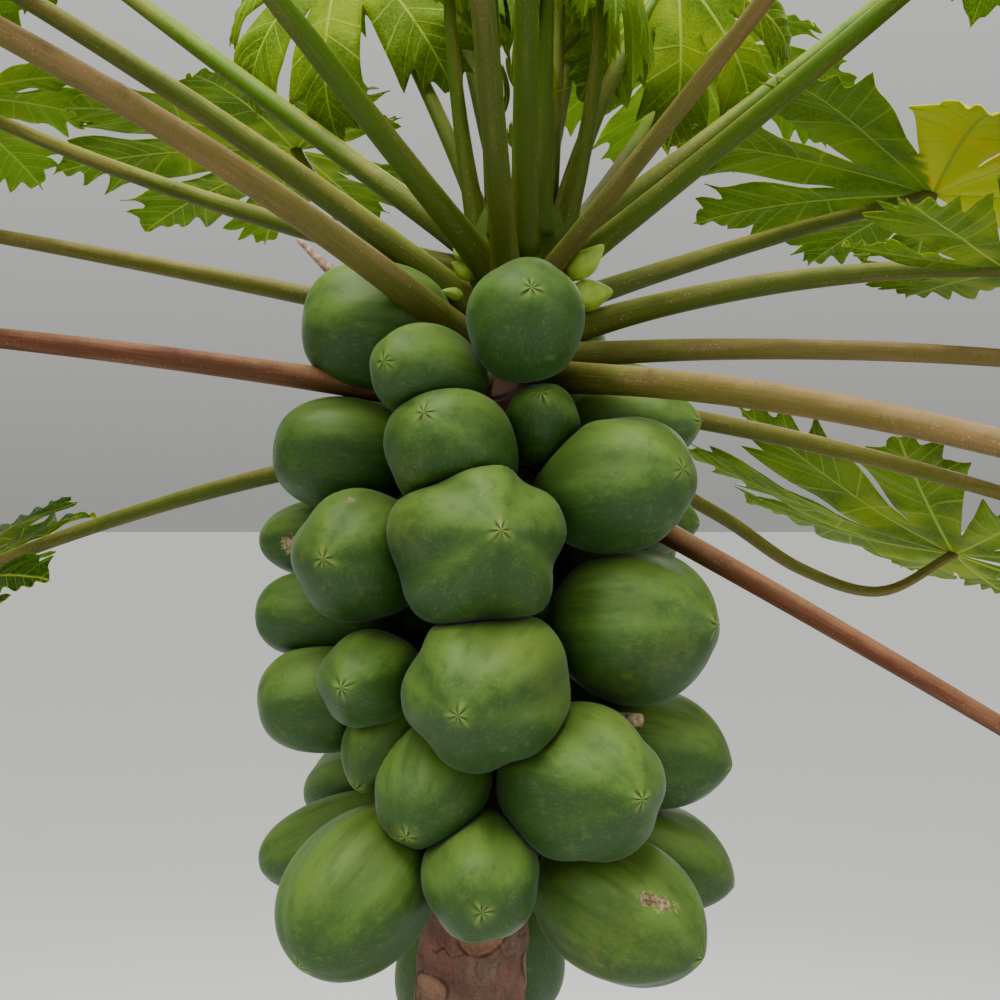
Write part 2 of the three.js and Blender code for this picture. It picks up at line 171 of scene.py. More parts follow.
# Angle of each lobe of a blade from the middle one, and its reach as a share of the span.
LOBES = np.array([
    (-148, 0.52), (-112, 0.7), (-75, 0.86), (-38, 0.96), (0, 1), (38, 0.96), (75, 0.86), (112, 0.7),
    (148, 0.52),
])
LOBE_EDGE = 20.0
SINUS_REACH = 0.33
DROOP = 0.42
DRAW_IN = 0.28
RIPPLE = 0.035
RIPPLES = 9.5
CURL = 0.020
TWIST = 0.012
LOBE_TILT = 0.075
FLUTTER = 0.010
QUILT = 0.0035
TIP_SAG = 0.10
# Rows of faces in the fan round the head of the stalk, and from there to the tip of a lobe.
FAN_ROWS = 9
LOBE_ROWS = 35
GRID_PITCH = 3.0
# Row of a lobe, and its half width there as a share of its reach. The peaks are its side lobes.
LOBE_WIDTHS = np.array([
    (0, 0.115), (13, 0.235), (17, 0.120), (22, 0.150), (25, 0.082), (30, 0.052), (35, 0.0),
])
SIDE_SWEEP = 1.15
VEIN_BEATS = 9.0
KEEL = 0.26
# Angles in a blade between which it turns from green to yellow, lobe by lobe, and angles out of
# reach for the leaves that stay green. A lobe's colour spans LOBE_TURN to each side of its middle.
AGED = {"leaf_12": (-14, -24)}
NOT_AGED = (400, 401)
LOBE_TURN = 13

# Turn of the lobes round the axis of some fruit.
FRUIT_SPINS = {8: 18, 12: 40, 14: 10}
# How blunt the tip of some fruit is, from 0 to 1.
BLUNT_FRUIT = {
    0: 0.5, 1: 1.0, 2: 0.4, 3: 0.6, 6: 0.9, 7: 0.4, 9: 0.3, 11: 0.9, 12: 0.3, 15: 0.4, 16: 0.4, 17: 0.9,
    22: 0.5, 23: 0.8, 24: 0.6,
}
# Middles and reaches of dry scabs on the skin.
SCABS = {
    9: [(-0.029, -0.128, 1.590, 0.008), (-0.023, -0.126, 1.598, 0.007), (-0.033, -0.125, 1.581, 0.006)],
    11: [(-0.079, -0.070, 1.435, 0.018)],
    12: [(0.138, -0.135, 1.452, 0.008), (0.146, -0.130, 1.458, 0.006)],
    14: [(0.205, -0.175, 1.345, 0.007)],
    16: [(-0.052, -0.120, 1.215, 0.010)],
    18: [
        (0.226, -0.142, 1.268, 0.010), (0.238, -0.138, 1.262, 0.012),
        (0.249, -0.133, 1.256, 0.009), (0.259, -0.126, 1.251, 0.007),
    ],
    22: [(-0.088, -0.020, 1.560, 0.015), (-0.078, -0.022, 1.548, 0.012)],
}


def heading(turn, rise):
    t = math.radians(turn)
    e = math.radians(rise)
    return np.array((math.sin(t) * math.cos(e), -math.cos(t) * math.cos(e), math.sin(e)))


def lerp(a, b, share):
    return a + (b - a) * share


def ramp(low, high, x):
    share = np.clip((x - low) / (high - low), 0.0, 1.0)
    return share * share * (3.0 - 2.0 * share)


def bump_at(x, middle, width):
    return np.exp(-(((x - middle) / width) ** 2))


def stem_middle(z):
    return np.array((STEM_LEAN * z, 0.0, z))


def off_stem(turn, height, out):
    """The place at a turn, a height and a distance from the stem's axis in millimetres."""
    return stem_middle(height * MM) + heading(turn, 0) * out * MM


def stem_radius(z):
    flare = FLARE * np.exp(-z / FLARE_HEIGHT)
    lower = lerp(FOOT_RADIUS, WAIST_RADIUS, z / STEM_WAIST) + flare
    upper = lerp(WAIST_RADIUS, CROWN_RADIUS, (z - STEM_WAIST) / (STEM_SHOULDER - STEM_WAIST))
    rise = (z - STEM_SHOULDER) / (STEM_HEIGHT - STEM_SHOULDER)
    dome = CROWN_RADIUS * np.sqrt(np.clip(1.0 - rise * rise, 0.0001, 1.0))
    return np.where(z <= STEM_WAIST, lower, np.where(z <= STEM_SHOULDER, upper, dome))


def points_of(mesh):
    flat = np.empty(len(mesh.vertices) * 3)
    mesh.vertices.foreach_get("co", flat)
    return flat.reshape(-1, 3)


def normals_of(mesh):
    flat = np.empty(len(mesh.vertices) * 3, dtype=np.float32)
    mesh.vertex_normals.foreach_get("vector", flat)
    return flat.reshape(-1, 3)


def place_points(mesh, points):
    mesh.vertices.foreach_set("co", np.asarray(points, dtype=np.float32).ravel())
    mesh.update()


def with_attributes(mesh, material, **attributes):
    """Gives a mesh one material, and a number or a vector of three at each vertex, by name."""
    points = len(mesh.vertices)
    for name, values in attributes.items():
        vector = np.shape(values)[-1:] == (3,)
        layer = mesh.attributes.new(name, "FLOAT_VECTOR" if vector else "FLOAT", "POINT")
        spread = np.broadcast_to(np.asarray(values, dtype=np.float32), (points, 3) if vector else points)
        layer.data.foreach_set("vector" if vector else "value", spread.ravel())
    faces = np.full(len(mesh.polygons), material, dtype=np.int32)
    mesh.polygons.foreach_set("material_index", faces)
    return mesh


def mesh_from(bm, name):
    mesh = bpy.data.meshes.new(name)
    bm.to_mesh(mesh)
    bm.free()
    return mesh


def joined(meshes, name):
    """One mesh of several."""
    bm = bmesh.new()
    for mesh in meshes:
        bm.from_mesh(mesh)
        bpy.data.meshes.remove(mesh)
    return mesh_from(bm, name)


def ball_mesh(segments, rings):
    """A ball of radius 1, its points, and their angle round the upright axis."""
    bm = bmesh.new()
    bmesh.ops.create_uvsphere(bm, u_segments=segments, v_segments=rings, radius=1.0)
    mesh = mesh_from(bm, "ball")
    ball = points_of(mesh)
    return mesh, ball, np.arctan2(ball[:, 1], ball[:, 0])


def sides_of(axis):
    """Two directions square to an axis, the first as level as it can be."""
    first = np.cross((0.0, 0.0, 1.0), axis)
    first /= np.linalg.norm(first)
    return first, np.cross(axis, first)


def add_piece(name, mesh, materials, nodes=()):
    for material in materials:
        mesh.materials.append(material)
    mesh.polygons.foreach_set("use_smooth", np.ones(len(mesh.polygons), dtype=bool))
    piece = bpy.data.objects.new(name, mesh)
    bpy.context.scene.collection.objects.link(piece)
    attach(piece, "root")
    if nodes:
        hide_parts(*nodes)
    return piece


def ringed_bar(segments, rings):
    """A closed upright bar of radius 1 from z = 0 to 1, cut into equal rings."""
    bm = bmesh.new()
    lift = Matrix.Translation((0.0, 0.0, 0.5))
    bmesh.ops.create_cone(
        bm, cap_ends=True, segments=segments, radius1=1.0, radius2=1.0, depth=1.0, matrix=lift
    )
    upright = [e for e in bm.edges if abs(e.verts[0].co.z - e.verts[1].co.z) > 0.5]
    bmesh.ops.subdivide_edges(bm, edges=upright, cuts=rings - 1, use_grid_fill=True)
    return mesh_from(bm, "bar")


class Path:
    """A smooth curve through points, read by share of its length."""

    def __init__(self, points):
        points = np.asarray(points)
        ends = [2 * points[0] - points[1], 2 * points[-1] - points[-2]]
        knots = np.vstack([ends[0], points, ends[1]])
        gaps = np.sqrt(np.linalg.norm(np.diff(knots, axis=0), axis=1))
        places = []
        for i in range(1, len(knots) - 2):
            before, here, ahead, after = knots[i - 1:i + 3]
            g0, g1, g2 = gaps[i - 1:i + 2]
            leave = (here - before) / g0 - (ahead - before) / (g0 + g1) + (ahead - here) / g1
            arrive = (ahead - here) / g1 - (after - here) / (g1 + g2) + (after - ahead) / g2
            for u in np.linspace(0.0, 1.0, PATH_SAMPLES, endpoint=False):
                u2, u3 = u * u, u * u * u
                places.append(
                    (2 * u3 - 3 * u2 + 1) * here + (u3 - 2 * u2 + u) * g1 * leave
                    + (3 * u2 - 2 * u3) * ahead + (u3 - u2) * g1 * arrive
                )
        places.append(points[-1])
        self.places = np.array(places)
        steps = np.linalg.norm(np.diff(self.places, axis=0), axis=1)
        self.along = np.concatenate([[0.0], np.cumsum(steps)])
        self.length = self.along[-1]

    def at(self, share):
        reach = np.asarray(share) * self.length
        return np.stack([np.interp(reach, self.along, self.places[:, k]) for k in range(3)], axis=-1)

    def tangent(self, share, step=0.01):
        share = np.asarray(share)
        ahead = self.at(np.clip(share + step, 0.0, 1.0)) - self.at(np.clip(share - step, 0.0, 1.0))
        return ahead / np.linalg.norm(ahead, axis=-1, keepdims=True)


def bar_along(path, radius_at, segments, rings, mapped=False):
    """A bar along a path in an upright plane. Its UV map, where it has one, holds the angle from
    its upper side and the length in metres."""
    mesh = ringed_bar(segments, rings)
    local = points_of(mesh)
    share = local[:, 2].copy()
    angle = np.arctan2(local[:, 1], local[:, 0])
    ring = np.hypot(local[:, 0], local[:, 1])[:, None]
    chord = path.places[-1] - path.places[0]
    side = np.cross(chord, (0.0, 0.0, 1.0))
    side /= np.linalg.norm(side)
    lift = np.cross(side, path.tangent(share))
    radius = radius_at(share, angle)[:, None] * ring
    out = np.cos(angle)[:, None] * lift + np.sin(angle)[:, None] * side
    place_points(mesh, path.at(share) + radius * out)
    if mapped:
        write_uv(mesh, np.abs(angle) / math.pi, share * path.length)
    bm = bmesh.new()
    bm.from_mesh(mesh)
    bmesh.ops.recalc_face_normals(bm, faces=bm.faces)
    bm.to_mesh(mesh)
    bm.free()
    return mesh


def write_uv(mesh, u, v):
    """Stores a pair of numbers for each vertex in the UV map named pattern."""
    corners = np.empty(len(mesh.loops), dtype=np.int32)
    mesh.loops.foreach_get("vertex_index", corners)
    values = np.stack([u, v], axis=-1).astype(np.float32)
    mesh.uv_layers.new(name="pattern").data.foreach_set("uv", values[corners].ravel())


def by_identifier(sockets, key):
    """A socket by its number, its identifier or else its name."""
    if isinstance(key, int):
        return sockets[key]
    for socket in sockets:
        if socket.identifier == key:
            return socket
    return sockets[key]


class Term:
    """A socket in an expression of shader maths."""

    def __init__(self, finish, socket):
        self.finish = finish
        self.socket = socket

    def math(self, operation, *others):
        settings = {"operation": operation}
        inputs = {index: value for index, value in enumerate((self,) + others)}
        return self.finish.add("ShaderNodeMath", settings, inputs)

    def __add__(self, other):
        return self.math("ADD", other)

    __radd__ = __add__

    def __sub__(self, other):
        return self.math("SUBTRACT", other)

    def __rsub__(self, other):
        return self.finish.add("ShaderNodeMath", {"operation": "SUBTRACT"}, {0: other, 1: self})

    def __mul__(self, other):
        return self.math("MULTIPLY", other)

    __rmul__ = __mul__

    def __truediv__(self, other):
        return self.math("DIVIDE", other)

    def __pow__(self, other):
        return self.math("POWER", other)

    def between(self, low, high):
        """0 below low, 1 above high, and smooth between them."""
        inputs = {"Value": self, "From Min": low, "From Max": high}
        return self.finish.add("ShaderNodeMapRange", {"interpolation_type": "SMOOTHSTEP"}, inputs)


class Finish:
    """A material: its Principled shader and the nodes that feed it."""

    def __init__(self, name, **constants):
        self.material = bpy.data.materials.new(name)
        self.material.use_nodes = True
        self.tree = self.material.node_tree
        self.shader = self.tree.nodes["Principled BSDF"]
        for socket, value in constants.items():
            title = socket.replace("_", " ").title().replace("Ior", "IOR")
            self.shader.inputs[title].default_value = value

    def add(self, kind, settings=None, inputs=None, output=None):
        """Adds a node: its settings first, then the values or links of its sockets."""
        node = self.tree.nodes.new(kind)
        for key, value in (settings or {}).items():
            setattr(node, key, value)
        for key, value in (inputs or {}).items():
            socket = by_identifier(node.inputs, key)
            if isinstance(value, Term):
                self.tree.links.new(value.socket, socket)
            else:
                socket.default_value = value
        return Term(self, by_identifier(node.outputs, output or 0))

    def feed(self, socket, term):
        self.tree.links.new(term.socket, self.shader.inputs[socket])

    def place(self):
        return self.add("ShaderNodeTexCoord", output="Object")

    def attribute(self, name, output="Fac"):
        return self.add("ShaderNodeAttribute", {"attribute_name": name}, output=output)

    def split(self, vector):
        parts = self.add("ShaderNodeSeparateXYZ", inputs={0: vector}).socket.node.outputs
        return [Term(self, part) for part in parts]

    def scaled(self, vector, scale):
        """A texture's inputs, through a Mapping node where its scale differs by axis."""
        if not isinstance(scale, tuple):
            return {"Vector": vector, "Scale": scale}
        mapped = self.add("ShaderNodeMapping", inputs={"Vector": vector, "Scale": scale})
        return {"Vector": mapped, "Scale": 1.0}

    def noise(self, vector, scale, detail=4.0, roughness=0.55):
        inputs = {**self.scaled(vector, scale), "Detail": detail, "Roughness": roughness}
        return self.add("ShaderNodeTexNoise", inputs=inputs)

    def cells(self, vector, scale, feature="F1"):
        inputs = self.scaled(vector, scale)
        return self.add("ShaderNodeTexVoronoi", {"feature": feature}, inputs, "Distance")

    def mix(self, share, a, b, blend="MIX"):
        """A colour between two, each a colour or a link."""
        inputs = {"Factor_Float": share, "A_Color": solid(a), "B_Color": solid(b)}
        settings = {"data_type": "RGBA", "blend_type": blend}
        return self.add("ShaderNodeMix", settings, inputs, "Result_Color")

    def layers(self, base, *tops):
        """A colour with others laid over it in turn, each given as its share and its colour."""
        for share, top in tops:
            base = self.mix(share, base, top)
        return base

    def surface(self, base, roughness, height, strength, distance):
        """Feeds the shader its colour, roughness and relief, and gives the material."""
        self.feed("Base Color", base)
        if roughness:
            self.feed("Roughness", roughness)
        inputs = {"Height": height, "Strength": strength, "Distance": distance}
        self.feed("Normal", self.add("ShaderNodeBump", inputs=inputs))
        return self.material


def solid(base):
    return base if isinstance(base, Term) else (*base[:3], 1.0)


def shaded(base, times):
    """A colour made darker or lighter."""
    return tuple(min(1.0, c * times) for c in base)


def blended(a, b, share):
    return tuple(lerp(c, d, share) for c, d in zip(a, b))


def colour(name, description, default):
    return FloatVectorProperty(
        name=name, description=description, default=default, subtype="COLOR", min=0.0, max=1.0, size=3
    )


def length(name, description, default):
    return FloatProperty(name=name, description=description, default=default, min=0.0, unit="LENGTH")


def count(name, description, default, least):
    return IntProperty(name=name, description=description, default=default, min=least)


class BarkSettings(bpy.types.PropertyGroup):
    """Sizes and colours of the stem's bark."""

    scar_width: length("Scar width", "Width of a leaf scar", 0.056)
    scar_height: length("Scar height", "Height of a leaf scar", 0.044)
    scar_pitch: length("Scar pitch", "Rise from one leaf scar to the next", 0.019)
    scar_relief: length("Scar relief", "Height of the rim of a leaf scar", 0.0014)
    segments: count("Segments", "Faces round the stem", 112, 12)
    rings: count("Rings", "Rings up the stem", 430, 20)
    light: colour("Light bark", "Colour of the bark's high parts", (0.195, 0.115, 0.080))
    # The crack colour also paints shade on the stem among the fruit.
    dark: colour("Dark bark", "Colour of the bark's cracks", (0.050, 0.019, 0.014))
    grey: colour("Grey film", "Colour of the thin grey film on the bark", (0.185, 0.165, 0.095))
    scar: colour("Scar", "Colour inside a leaf scar", (0.380, 0.215, 0.125))
    rosy: colour("Rosy bark", "Colour of the fresher patches of bark", (0.240, 0.080, 0.062))
    weathered: colour("Weathered bark", "Colour of the old bark near the ground", (0.150, 0.118, 0.084))
    green: colour("Green top", "Colour of the young end of the stem", (0.055, 0.095, 0.006))


class FruitSettings(bpy.types.PropertyGroup):
    """Sizes and colours of the fruit."""

    segments: count("Segments", "Faces round a fruit", 60, 20)
    rings: count("Rings", "Rings along a fruit", 38, 12)
    star_reach: length("Star reach", "Reach of the star at the tip of a fruit", 0.0105)
    star_depth: length("Star depth", "Depth of the star's grooves", 0.0014)
    tip_rise: length("Tip rise", "Height of the point at the tip of a fruit", 0.0045)
    tip_reach: length("Tip reach", "Width of the point at the tip of a fruit", 0.013)
    deep: colour("Deep green", "Colour of the shaded flanks", (0.015, 0.052, 0.006))
    middle: colour("Green", "Main colour of the skin", (0.050, 0.122, 0.013))
    light: colour("Light green", "Colour of the sunlit patches", (0.150, 0.245, 0.036))
    pale: colour("Pale", "Colour of the star's ridges and the specks", (0.30, 0.38, 0.07))
    ripe: colour("Ripening", "Colour of the yellowish patches", (0.130, 0.150, 0.010))
    slit: colour("Slit", "Colour of the star's grooves", (0.018, 0.035, 0.006))
    scab: colour("Scab", "Colour of the dry scabs", (0.34, 0.24, 0.13))
    crust: colour("Crust", "Colour of the dark spots in the scabs", (0.10, 0.055, 0.030))
    lichen: colour("Lichen", "Colour of the greenish film on the scabs", (0.50, 0.46, 0.24))


class LeafSettings(bpy.types.PropertyGroup):
    """Sizes and colours of the leaves."""

    across: count("Across", "Faces across a lobe", 8, 2)
    thickness: length("Thickness", "Thickness of a blade", 0.0010)
    top: colour("Upper side", "Colour of a blade's upper side", (0.023, 0.070, 0.002))
    # Paler than the upper side, partly as the real underside is and partly as painted light standing in
    # for light through the blade. The young underside is the same.
    under: colour("Underside", "Colour of a blade's underside", (0.090, 0.165, 0.001))
    young_top: colour("Young upper side", "Colour of a young blade's upper side", (0.08, 0.17, 0.008))
    young_under: colour("Young underside", "Colour of a young blade's underside", (0.12, 0.22, 0.012))
    vein: colour("Vein", "Colour of the veins", (0.27, 0.34, 0.035))
    yellow: colour("Yellow", "Colour of a leaf that turns yellow", (0.48, 0.47, 0.004))
    gold: colour("Gold", "Colour of the oldest part of a leaf", (0.62, 0.42, 0.010))


class BudSettings(bpy.types.PropertyGroup):
    """Colours of the flower buds and the dry stalks."""

    green: colour("Bud", "Main colour of the buds", (0.20, 0.32, 0.018))
    light: colour("Light bud", "Colour of the buds' lighter parts", (0.34, 0.46, 0.040))
    pale: colour("Pale", "Colour of the fine specks on the buds", (0.50, 0.58, 0.12))
    dry: colour("Dry stalk", "Main colour of the dry stalks", (0.50, 0.38, 0.25))
    dry_dark: colour("Dark dry stalk", "Colour of the grain in the dry stalks", (0.20, 0.115, 0.070))


class StageSettings(bpy.types.PropertyGroup):
    """The floor, the lights and the camera."""

    floor_size: length("Floor size", "Side of the floor", 160.0)
    floor: colour("Floor", "Colour of the floor", (0.66, 0.66, 0.64))
    air: colour("Air", "Colour of the light from all round", (1.0, 1.0, 0.96))
    horizon: FloatProperty(name="Horizon", description="Light from the horizon", default=0.34)
    zenith: FloatProperty(name="Zenith", description="Light from overhead", default=1.25)
    camera_height: length("Camera height", "Height of the camera above the ground", 1.6)
    camera_distance: length("Camera distance", "Distance of the camera from the stem", 1.5)
    camera_side: length("Camera side", "How far right of the foot the camera stands", 0.103)
    lens: FloatProperty(name="Lens", description="Focal length", default=58.86, unit="CAMERA")


SETTINGS = {
    "papaya_bark": BarkSettings,
    "papaya_fruit": FruitSettings,
    "papaya_leaf": LeafSettings,
    "papaya_bud": BudSettings,
    "papaya_stage": StageSettings,
}


def bark_finish(settings):
    """Cracked bark. Its scar attribute is the distance from a leaf scar's middle, 1 at its rim."""
    finish = Finish("papaya bark", roughness=0.85, specular_ior_level=0.25)
    place = finish.place()
    _, _, z = finish.split(place)
    wander = finish.noise(place, 24.0, 3.0)
    swirl = finish.add("ShaderNodeVectorMath", {"operation": "MULTIPLY_ADD"}, {
        0: finish.add("ShaderNodeTexNoise", inputs={"Vector": place, "Scale": 30.0}, output="Color"),
        1: (0.03, 0.03, 0.03),
        2: place,
    })
    cracks = finish.cells(swirl, (42.0, 42.0, 24.0), "DISTANCE_TO_EDGE")
    streaks = finish.noise(place, (90.0, 90.0, 26.0), 6.0, 0.65)
    film = finish.noise(place, 30.0, 5.0, 0.7)
    grain = finish.noise(place, 320.0, 4.0, 0.7)
    rosy = finish.noise(place, 17.0, 4.0, 0.6)
    hoops = finish.noise(place, (5.0, 5.0, 60.0), 3.0)
    edge = finish.attribute("scar") + (film - 0.5) * 0.22
    inside = 1.0 - edge.between(0.86, 1.0)
    rim = (1.0 - (edge - 1.0).math("ABSOLUTE").between(0.02, 0.14)) * streaks.between(0.36, 0.56)
    ring = 1.0 - (edge - 0.80).math("ABSOLUTE").between(0.01, 0.06)
    crack = (1.0 - cracks.between(0.0, 0.07)) * wander.between(0.46, 0.66) * (1.0 - inside * 0.8)
    old = (1.0 - z.between(0.35, 1.1)) * (0.35 + film * 0.5)
    base = finish.layers(
        settings.light,
        (streaks.between(0.32, 0.66) * 0.75, finish.mix(0.5, settings.light, settings.dark)),
        (film.between(0.50, 0.68) * wander.between(0.45, 0.6) * 0.75, settings.grey),
        (rosy.between(0.50, 0.66) * 0.5, settings.rosy),
        (inside * (0.1 + wander * 0.5 + streaks * 0.4), settings.scar),
        (grain.between(0.46, 0.70) * 0.5, settings.dark),
        (old, settings.weathered),
        (hoops.between(0.54, 0.66) * 0.35 * old, settings.dark),
        ((rim * 0.75 + ring * 0.25 + crack * 0.6).math("MINIMUM", 1.0) * 0.85, settings.dark),
        # Painted shade: the stem is darker between 1.25 and 1.5 m, where it stands among the fruit.
        (z.between(1.25, 1.5) * 0.6, settings.dark),
        ((z + film * 0.06).between(1.74, 1.84), settings.green),
    )
    relief = streaks * 0.5 + grain * 0.35 + film * 0.3 - rim * 0.8 - crack * 0.9
    return finish.surface(base, 0.72 + film * 0.25, relief, 0.55, 0.003)


class PAPAYA_OT_stem(bpy.types.Operator):
    """Makes the leaning stem with its flared foot and the scars of its old leaves"""

    bl_idname = "papaya.stem"
    bl_label = "Stem"

    def execute(self, context):
        settings = context.scene.papaya_bark
        mesh = ringed_bar(settings.segments, settings.rings)
        local = points_of(mesh)
        angle = np.arctan2(local[:, 1], local[:, 0])
        ring = np.hypot(local[:, 0], local[:, 1])
        z = local[:, 2] * STEM_HEIGHT
        radius = stem_radius(z)
        spread = np.exp(-z / FLARE_HEIGHT) * BUTTRESS_DEPTH
        radius = radius * (1.0 + spread * np.cos(BUTTRESSES * angle))
        relief, scar = self.scars(settings, z, angle, radius)
        wave = 0.0009 * np.sin(9 * angle + 14 * z) + 0.0007 * np.sin(z * 190 + 3 * angle)
        full = radius + (relief + wave) * ramp(0.0, 0.02, z) * ring
        out = full * ring
        x = out * np.cos(angle) + STEM_LEAN * z
        place_points(mesh, np.stack([x, out * np.sin(angle), z], axis=-1))
        with_attributes(mesh, 0, scar=scar)
        add_piece("papaya_stem", mesh, [bark_finish(settings)], [STEM_NODE])
        return {"FINISHED"}

    def scars(self, settings, z, angle, radius):
        """Relief of the leaf scars, which climb the stem in a spiral, and the distance from the
        nearest one's middle, where 1 is its rim. They are wide and low near the ground."""
        relief = np.zeros_like(z)
        scar = np.full_like(z, FAR_FROM_SCAR)
        dice = random.Random(SEED)
        height = FIRST_SCAR
        index = 0
        while height < LAST_SCAR:
            turn = math.radians(GOLDEN_TURN * index + dice.uniform(-SCAR_WANDER, SCAR_WANDER))
            grow = dice.uniform(0.75, 1.1)
            aged = 1.0 - float(ramp(0.3, 1.1, height))
            half_width = settings.scar_width / 2 * grow * (1.0 + 0.35 * aged)
            half_height = settings.scar_height / 2 * grow * (1.0 - 0.5 * aged)
            near = np.abs(z - height) < 3 * half_height
            swing = (angle[near] - turn + math.pi) % (2 * math.pi) - math.pi
            across = swing * radius[near] / half_width
            up = (z[near] - height) / half_height - 0.25 * across * across
            edge = np.hypot(across, up)
            lip = bump_at(edge, 1.0, 0.16)
            inside = 1.0 - ramp(0.5, 0.95, edge)
            relief[near] += settings.scar_relief * (lip - 0.5 * inside)
            scar[near] = np.minimum(scar[near], edge)
            height += settings.scar_pitch * dice.uniform(0.85, 1.15)
            index += 1
        return relief, scar


class Fruit:
    """Where one fruit lies, its size, and the node that it belongs to."""

    def __init__(self, index, row):
        turn, height, out, girth, length, dip, swing, group, lobe = row
        self.middle = off_stem(turn, height, out)
        self.axis = heading(turn + swing, dip)
        self.girth = girth * MM
        self.length = length * MM
        self.lobe = lobe
        self.index = index
        self.node = f"fruit_bunch_{group}" if group else f"fruit_{index + 1:02d}"

    def reach(self, direction):
        """How far the fruit reaches from its middle in a direction."""
        along = float(self.axis @ direction)
        across = math.sqrt(max(0.0, 1.0 - along * along))
        return math.hypot(along * self.length / 2, across * self.girth / 2) * PRESS_SLACK


def contact_of(a, b):
    """The plane that two pressed fruits share: the direction in which they overlap least."""
    between = b.middle - a.middle
    if np.linalg.norm(between) > (a.length + b.length) / 2 * PRESS_SLACK:
        return None

    def overlap(n):
        return a.reach(n) + b.reach(n) - float(between @ n)

    best = between / np.linalg.norm(between)
    least = overlap(best)
    step = 0.4
    while step > 0.004:
        for axis in np.eye(3):
            for sign in (-1, 1):
                tried = best + axis * sign * step
                tried = tried / np.linalg.norm(tried)
                depth = overlap(tried)
                if depth < least:
                    best, least = tried, depth
        step *= 0.6
    if least <= 0:
        return None
    return best, float(a.middle @ best) + a.reach(best) - least / 2


def press(points, normal, offset):
    """Flattens points softly where they come up to a plane."""
    beyond = points @ normal - offset + SEAT_GAP
    kept = -PRESS_SOFTNESS * np.logaddexp(0.0, -beyond / PRESS_SOFTNESS)
    return points + (kept - beyond)[:, None] * normal


def fruit_mesh(fruit, contacts, settings):
    """A five-lobed fruit with a star at its tip, flattened where its neighbours press on it."""
    mesh, ball, angle = ball_mesh(settings.segments, settings.rings)
    dice = random.Random(SEED * 100 + fruit.index)
    polar = np.arccos(np.clip(ball[:, 2], -1.0, 1.0)) / math.pi
    polar = math.pi * polar ** RING_GATHER
    rise = np.cos(polar)
    blunt = BLUNT_FRUIT.get(fruit.index, 0.0)
    tipped = (1.0 - blunt) * np.clip(rise, 0, 1) ** 2
    narrowed = 0.10 * np.abs(rise) ** 3 * (1.0 - blunt) + 0.04 * tipped
    width = np.sin(polar) ** (0.9 - 0.16 * blunt) * (1.0 - narrowed)
    crest = np.cos(FRUIT_LOBES * angle)
    tipward = ramp(-1.0, 0.3, rise)
    valley = ((1.0 - crest) / 2) ** 1.6
    width *= 1.0 + fruit.lobe * (CREST - VALLEY * valley) * tipward
    for cycles in (2, 3, 4):
        depth = dice.uniform(0.006, 0.018) / cycles
        width *= 1.0 + depth * np.sin(cycles * angle + dice.uniform(0, 6.3) + 2 * rise)
    radial = width * fruit.girth / 2
    along = rise * fruit.length / 2
    tone = dice.random()
    turned = angle + STAR_WANDER * np.sin(angle + WANDER_PHASE * tone)
    star = np.clip(np.cos(STAR_RAYS * turned), 0, 1) ** 2
    reach = settings.star_reach * (1.0 + STAR_UNEVEN * np.sin(3 * angle + UNEVEN_PHASE * tone))
    envelope = ramp(0.0005, 0.0025, radial) * (1.0 - ramp(0.3 * reach, reach, radial))
    front = rise > 0
    along = along - settings.star_depth * star * envelope * front
    nipple = np.exp(-((radial / settings.tip_reach) ** 1.5)) * (1.0 - blunt)
    along = along + settings.tip_rise * nipple * front
    skin = np.stack([radial * np.cos(angle), radial * np.sin(angle), along - fruit.length / 2], axis=-1)
    first, second = sides_of(fruit.axis)
    spin = math.radians(FRUIT_SPINS.get(fruit.index, dice.uniform(0, 360)))
    turned = angle + spin
    points = (
        fruit.middle
        + (radial * np.cos(turned))[:, None] * first
        + (radial * np.sin(turned))[:, None] * second
        + along[:, None] * fruit.axis
    )
    for normal, offset in contacts:
        points = press(points, normal, offset)
    points = keep_off_stem(points)
    place_points(mesh, points)
    # Painted light and shade: 1 where the skin faces the sky and 0 underneath. It lightens the upper side
    # and darkens the underside, partly as the fruit's paler sun side.
    sun = ramp(-0.6, 1.0, normals_of(mesh)[:, 2])
    return with_attributes(mesh, 0, skin=skin, tone=tone, scab=scab_of(fruit, points), sun=sun)


def scab_of(fruit, points):
    """How much of a dry scab lies at each point."""
    mask = np.zeros(len(points))
    for x, y, z, reach in SCABS.get(fruit.index, ()):
        far = np.linalg.norm(points - (x, y, z), axis=1)
        mask = np.maximum(mask, 1.0 - ramp(0.0, 1.4 * reach, far))
    return mask


def keep_off_stem(points):
    """Moves points that reach into the stem out to its skin."""
    z = points[:, 2]
    centre = np.stack([STEM_LEAN * z, np.zeros_like(z), z], axis=-1)
    out = points - centre
    far = np.linalg.norm(out, axis=1)
    least = stem_radius(z) + SKIN_OFF_STEM
    push = np.clip(least - far, 0.0, None)
    return points + out / np.maximum(far, SKIN_OFF_STEM)[:, None] * push[:, None]


def fruit_stalk(fruit):
    """The short stalk from the stem to the back end of a fruit."""
    end = fruit.middle - fruit.axis * FRUIT_STALK_START * fruit.length
    foot = stem_middle(end[2] + FRUIT_STALK_RISE)
    path = Path([foot, (foot + end) / 2, end])
    mesh = bar_along(path, lambda share, angle: FRUIT_STALK_RADIUS * (1 + 0.4 * share ** 4), 10, 6)
    # A fixed middling share of the fruit's painted top light.
    return with_attributes(mesh, 0, skin=STALK_SKIN, tone=0.5, scab=0.0, sun=0.4)


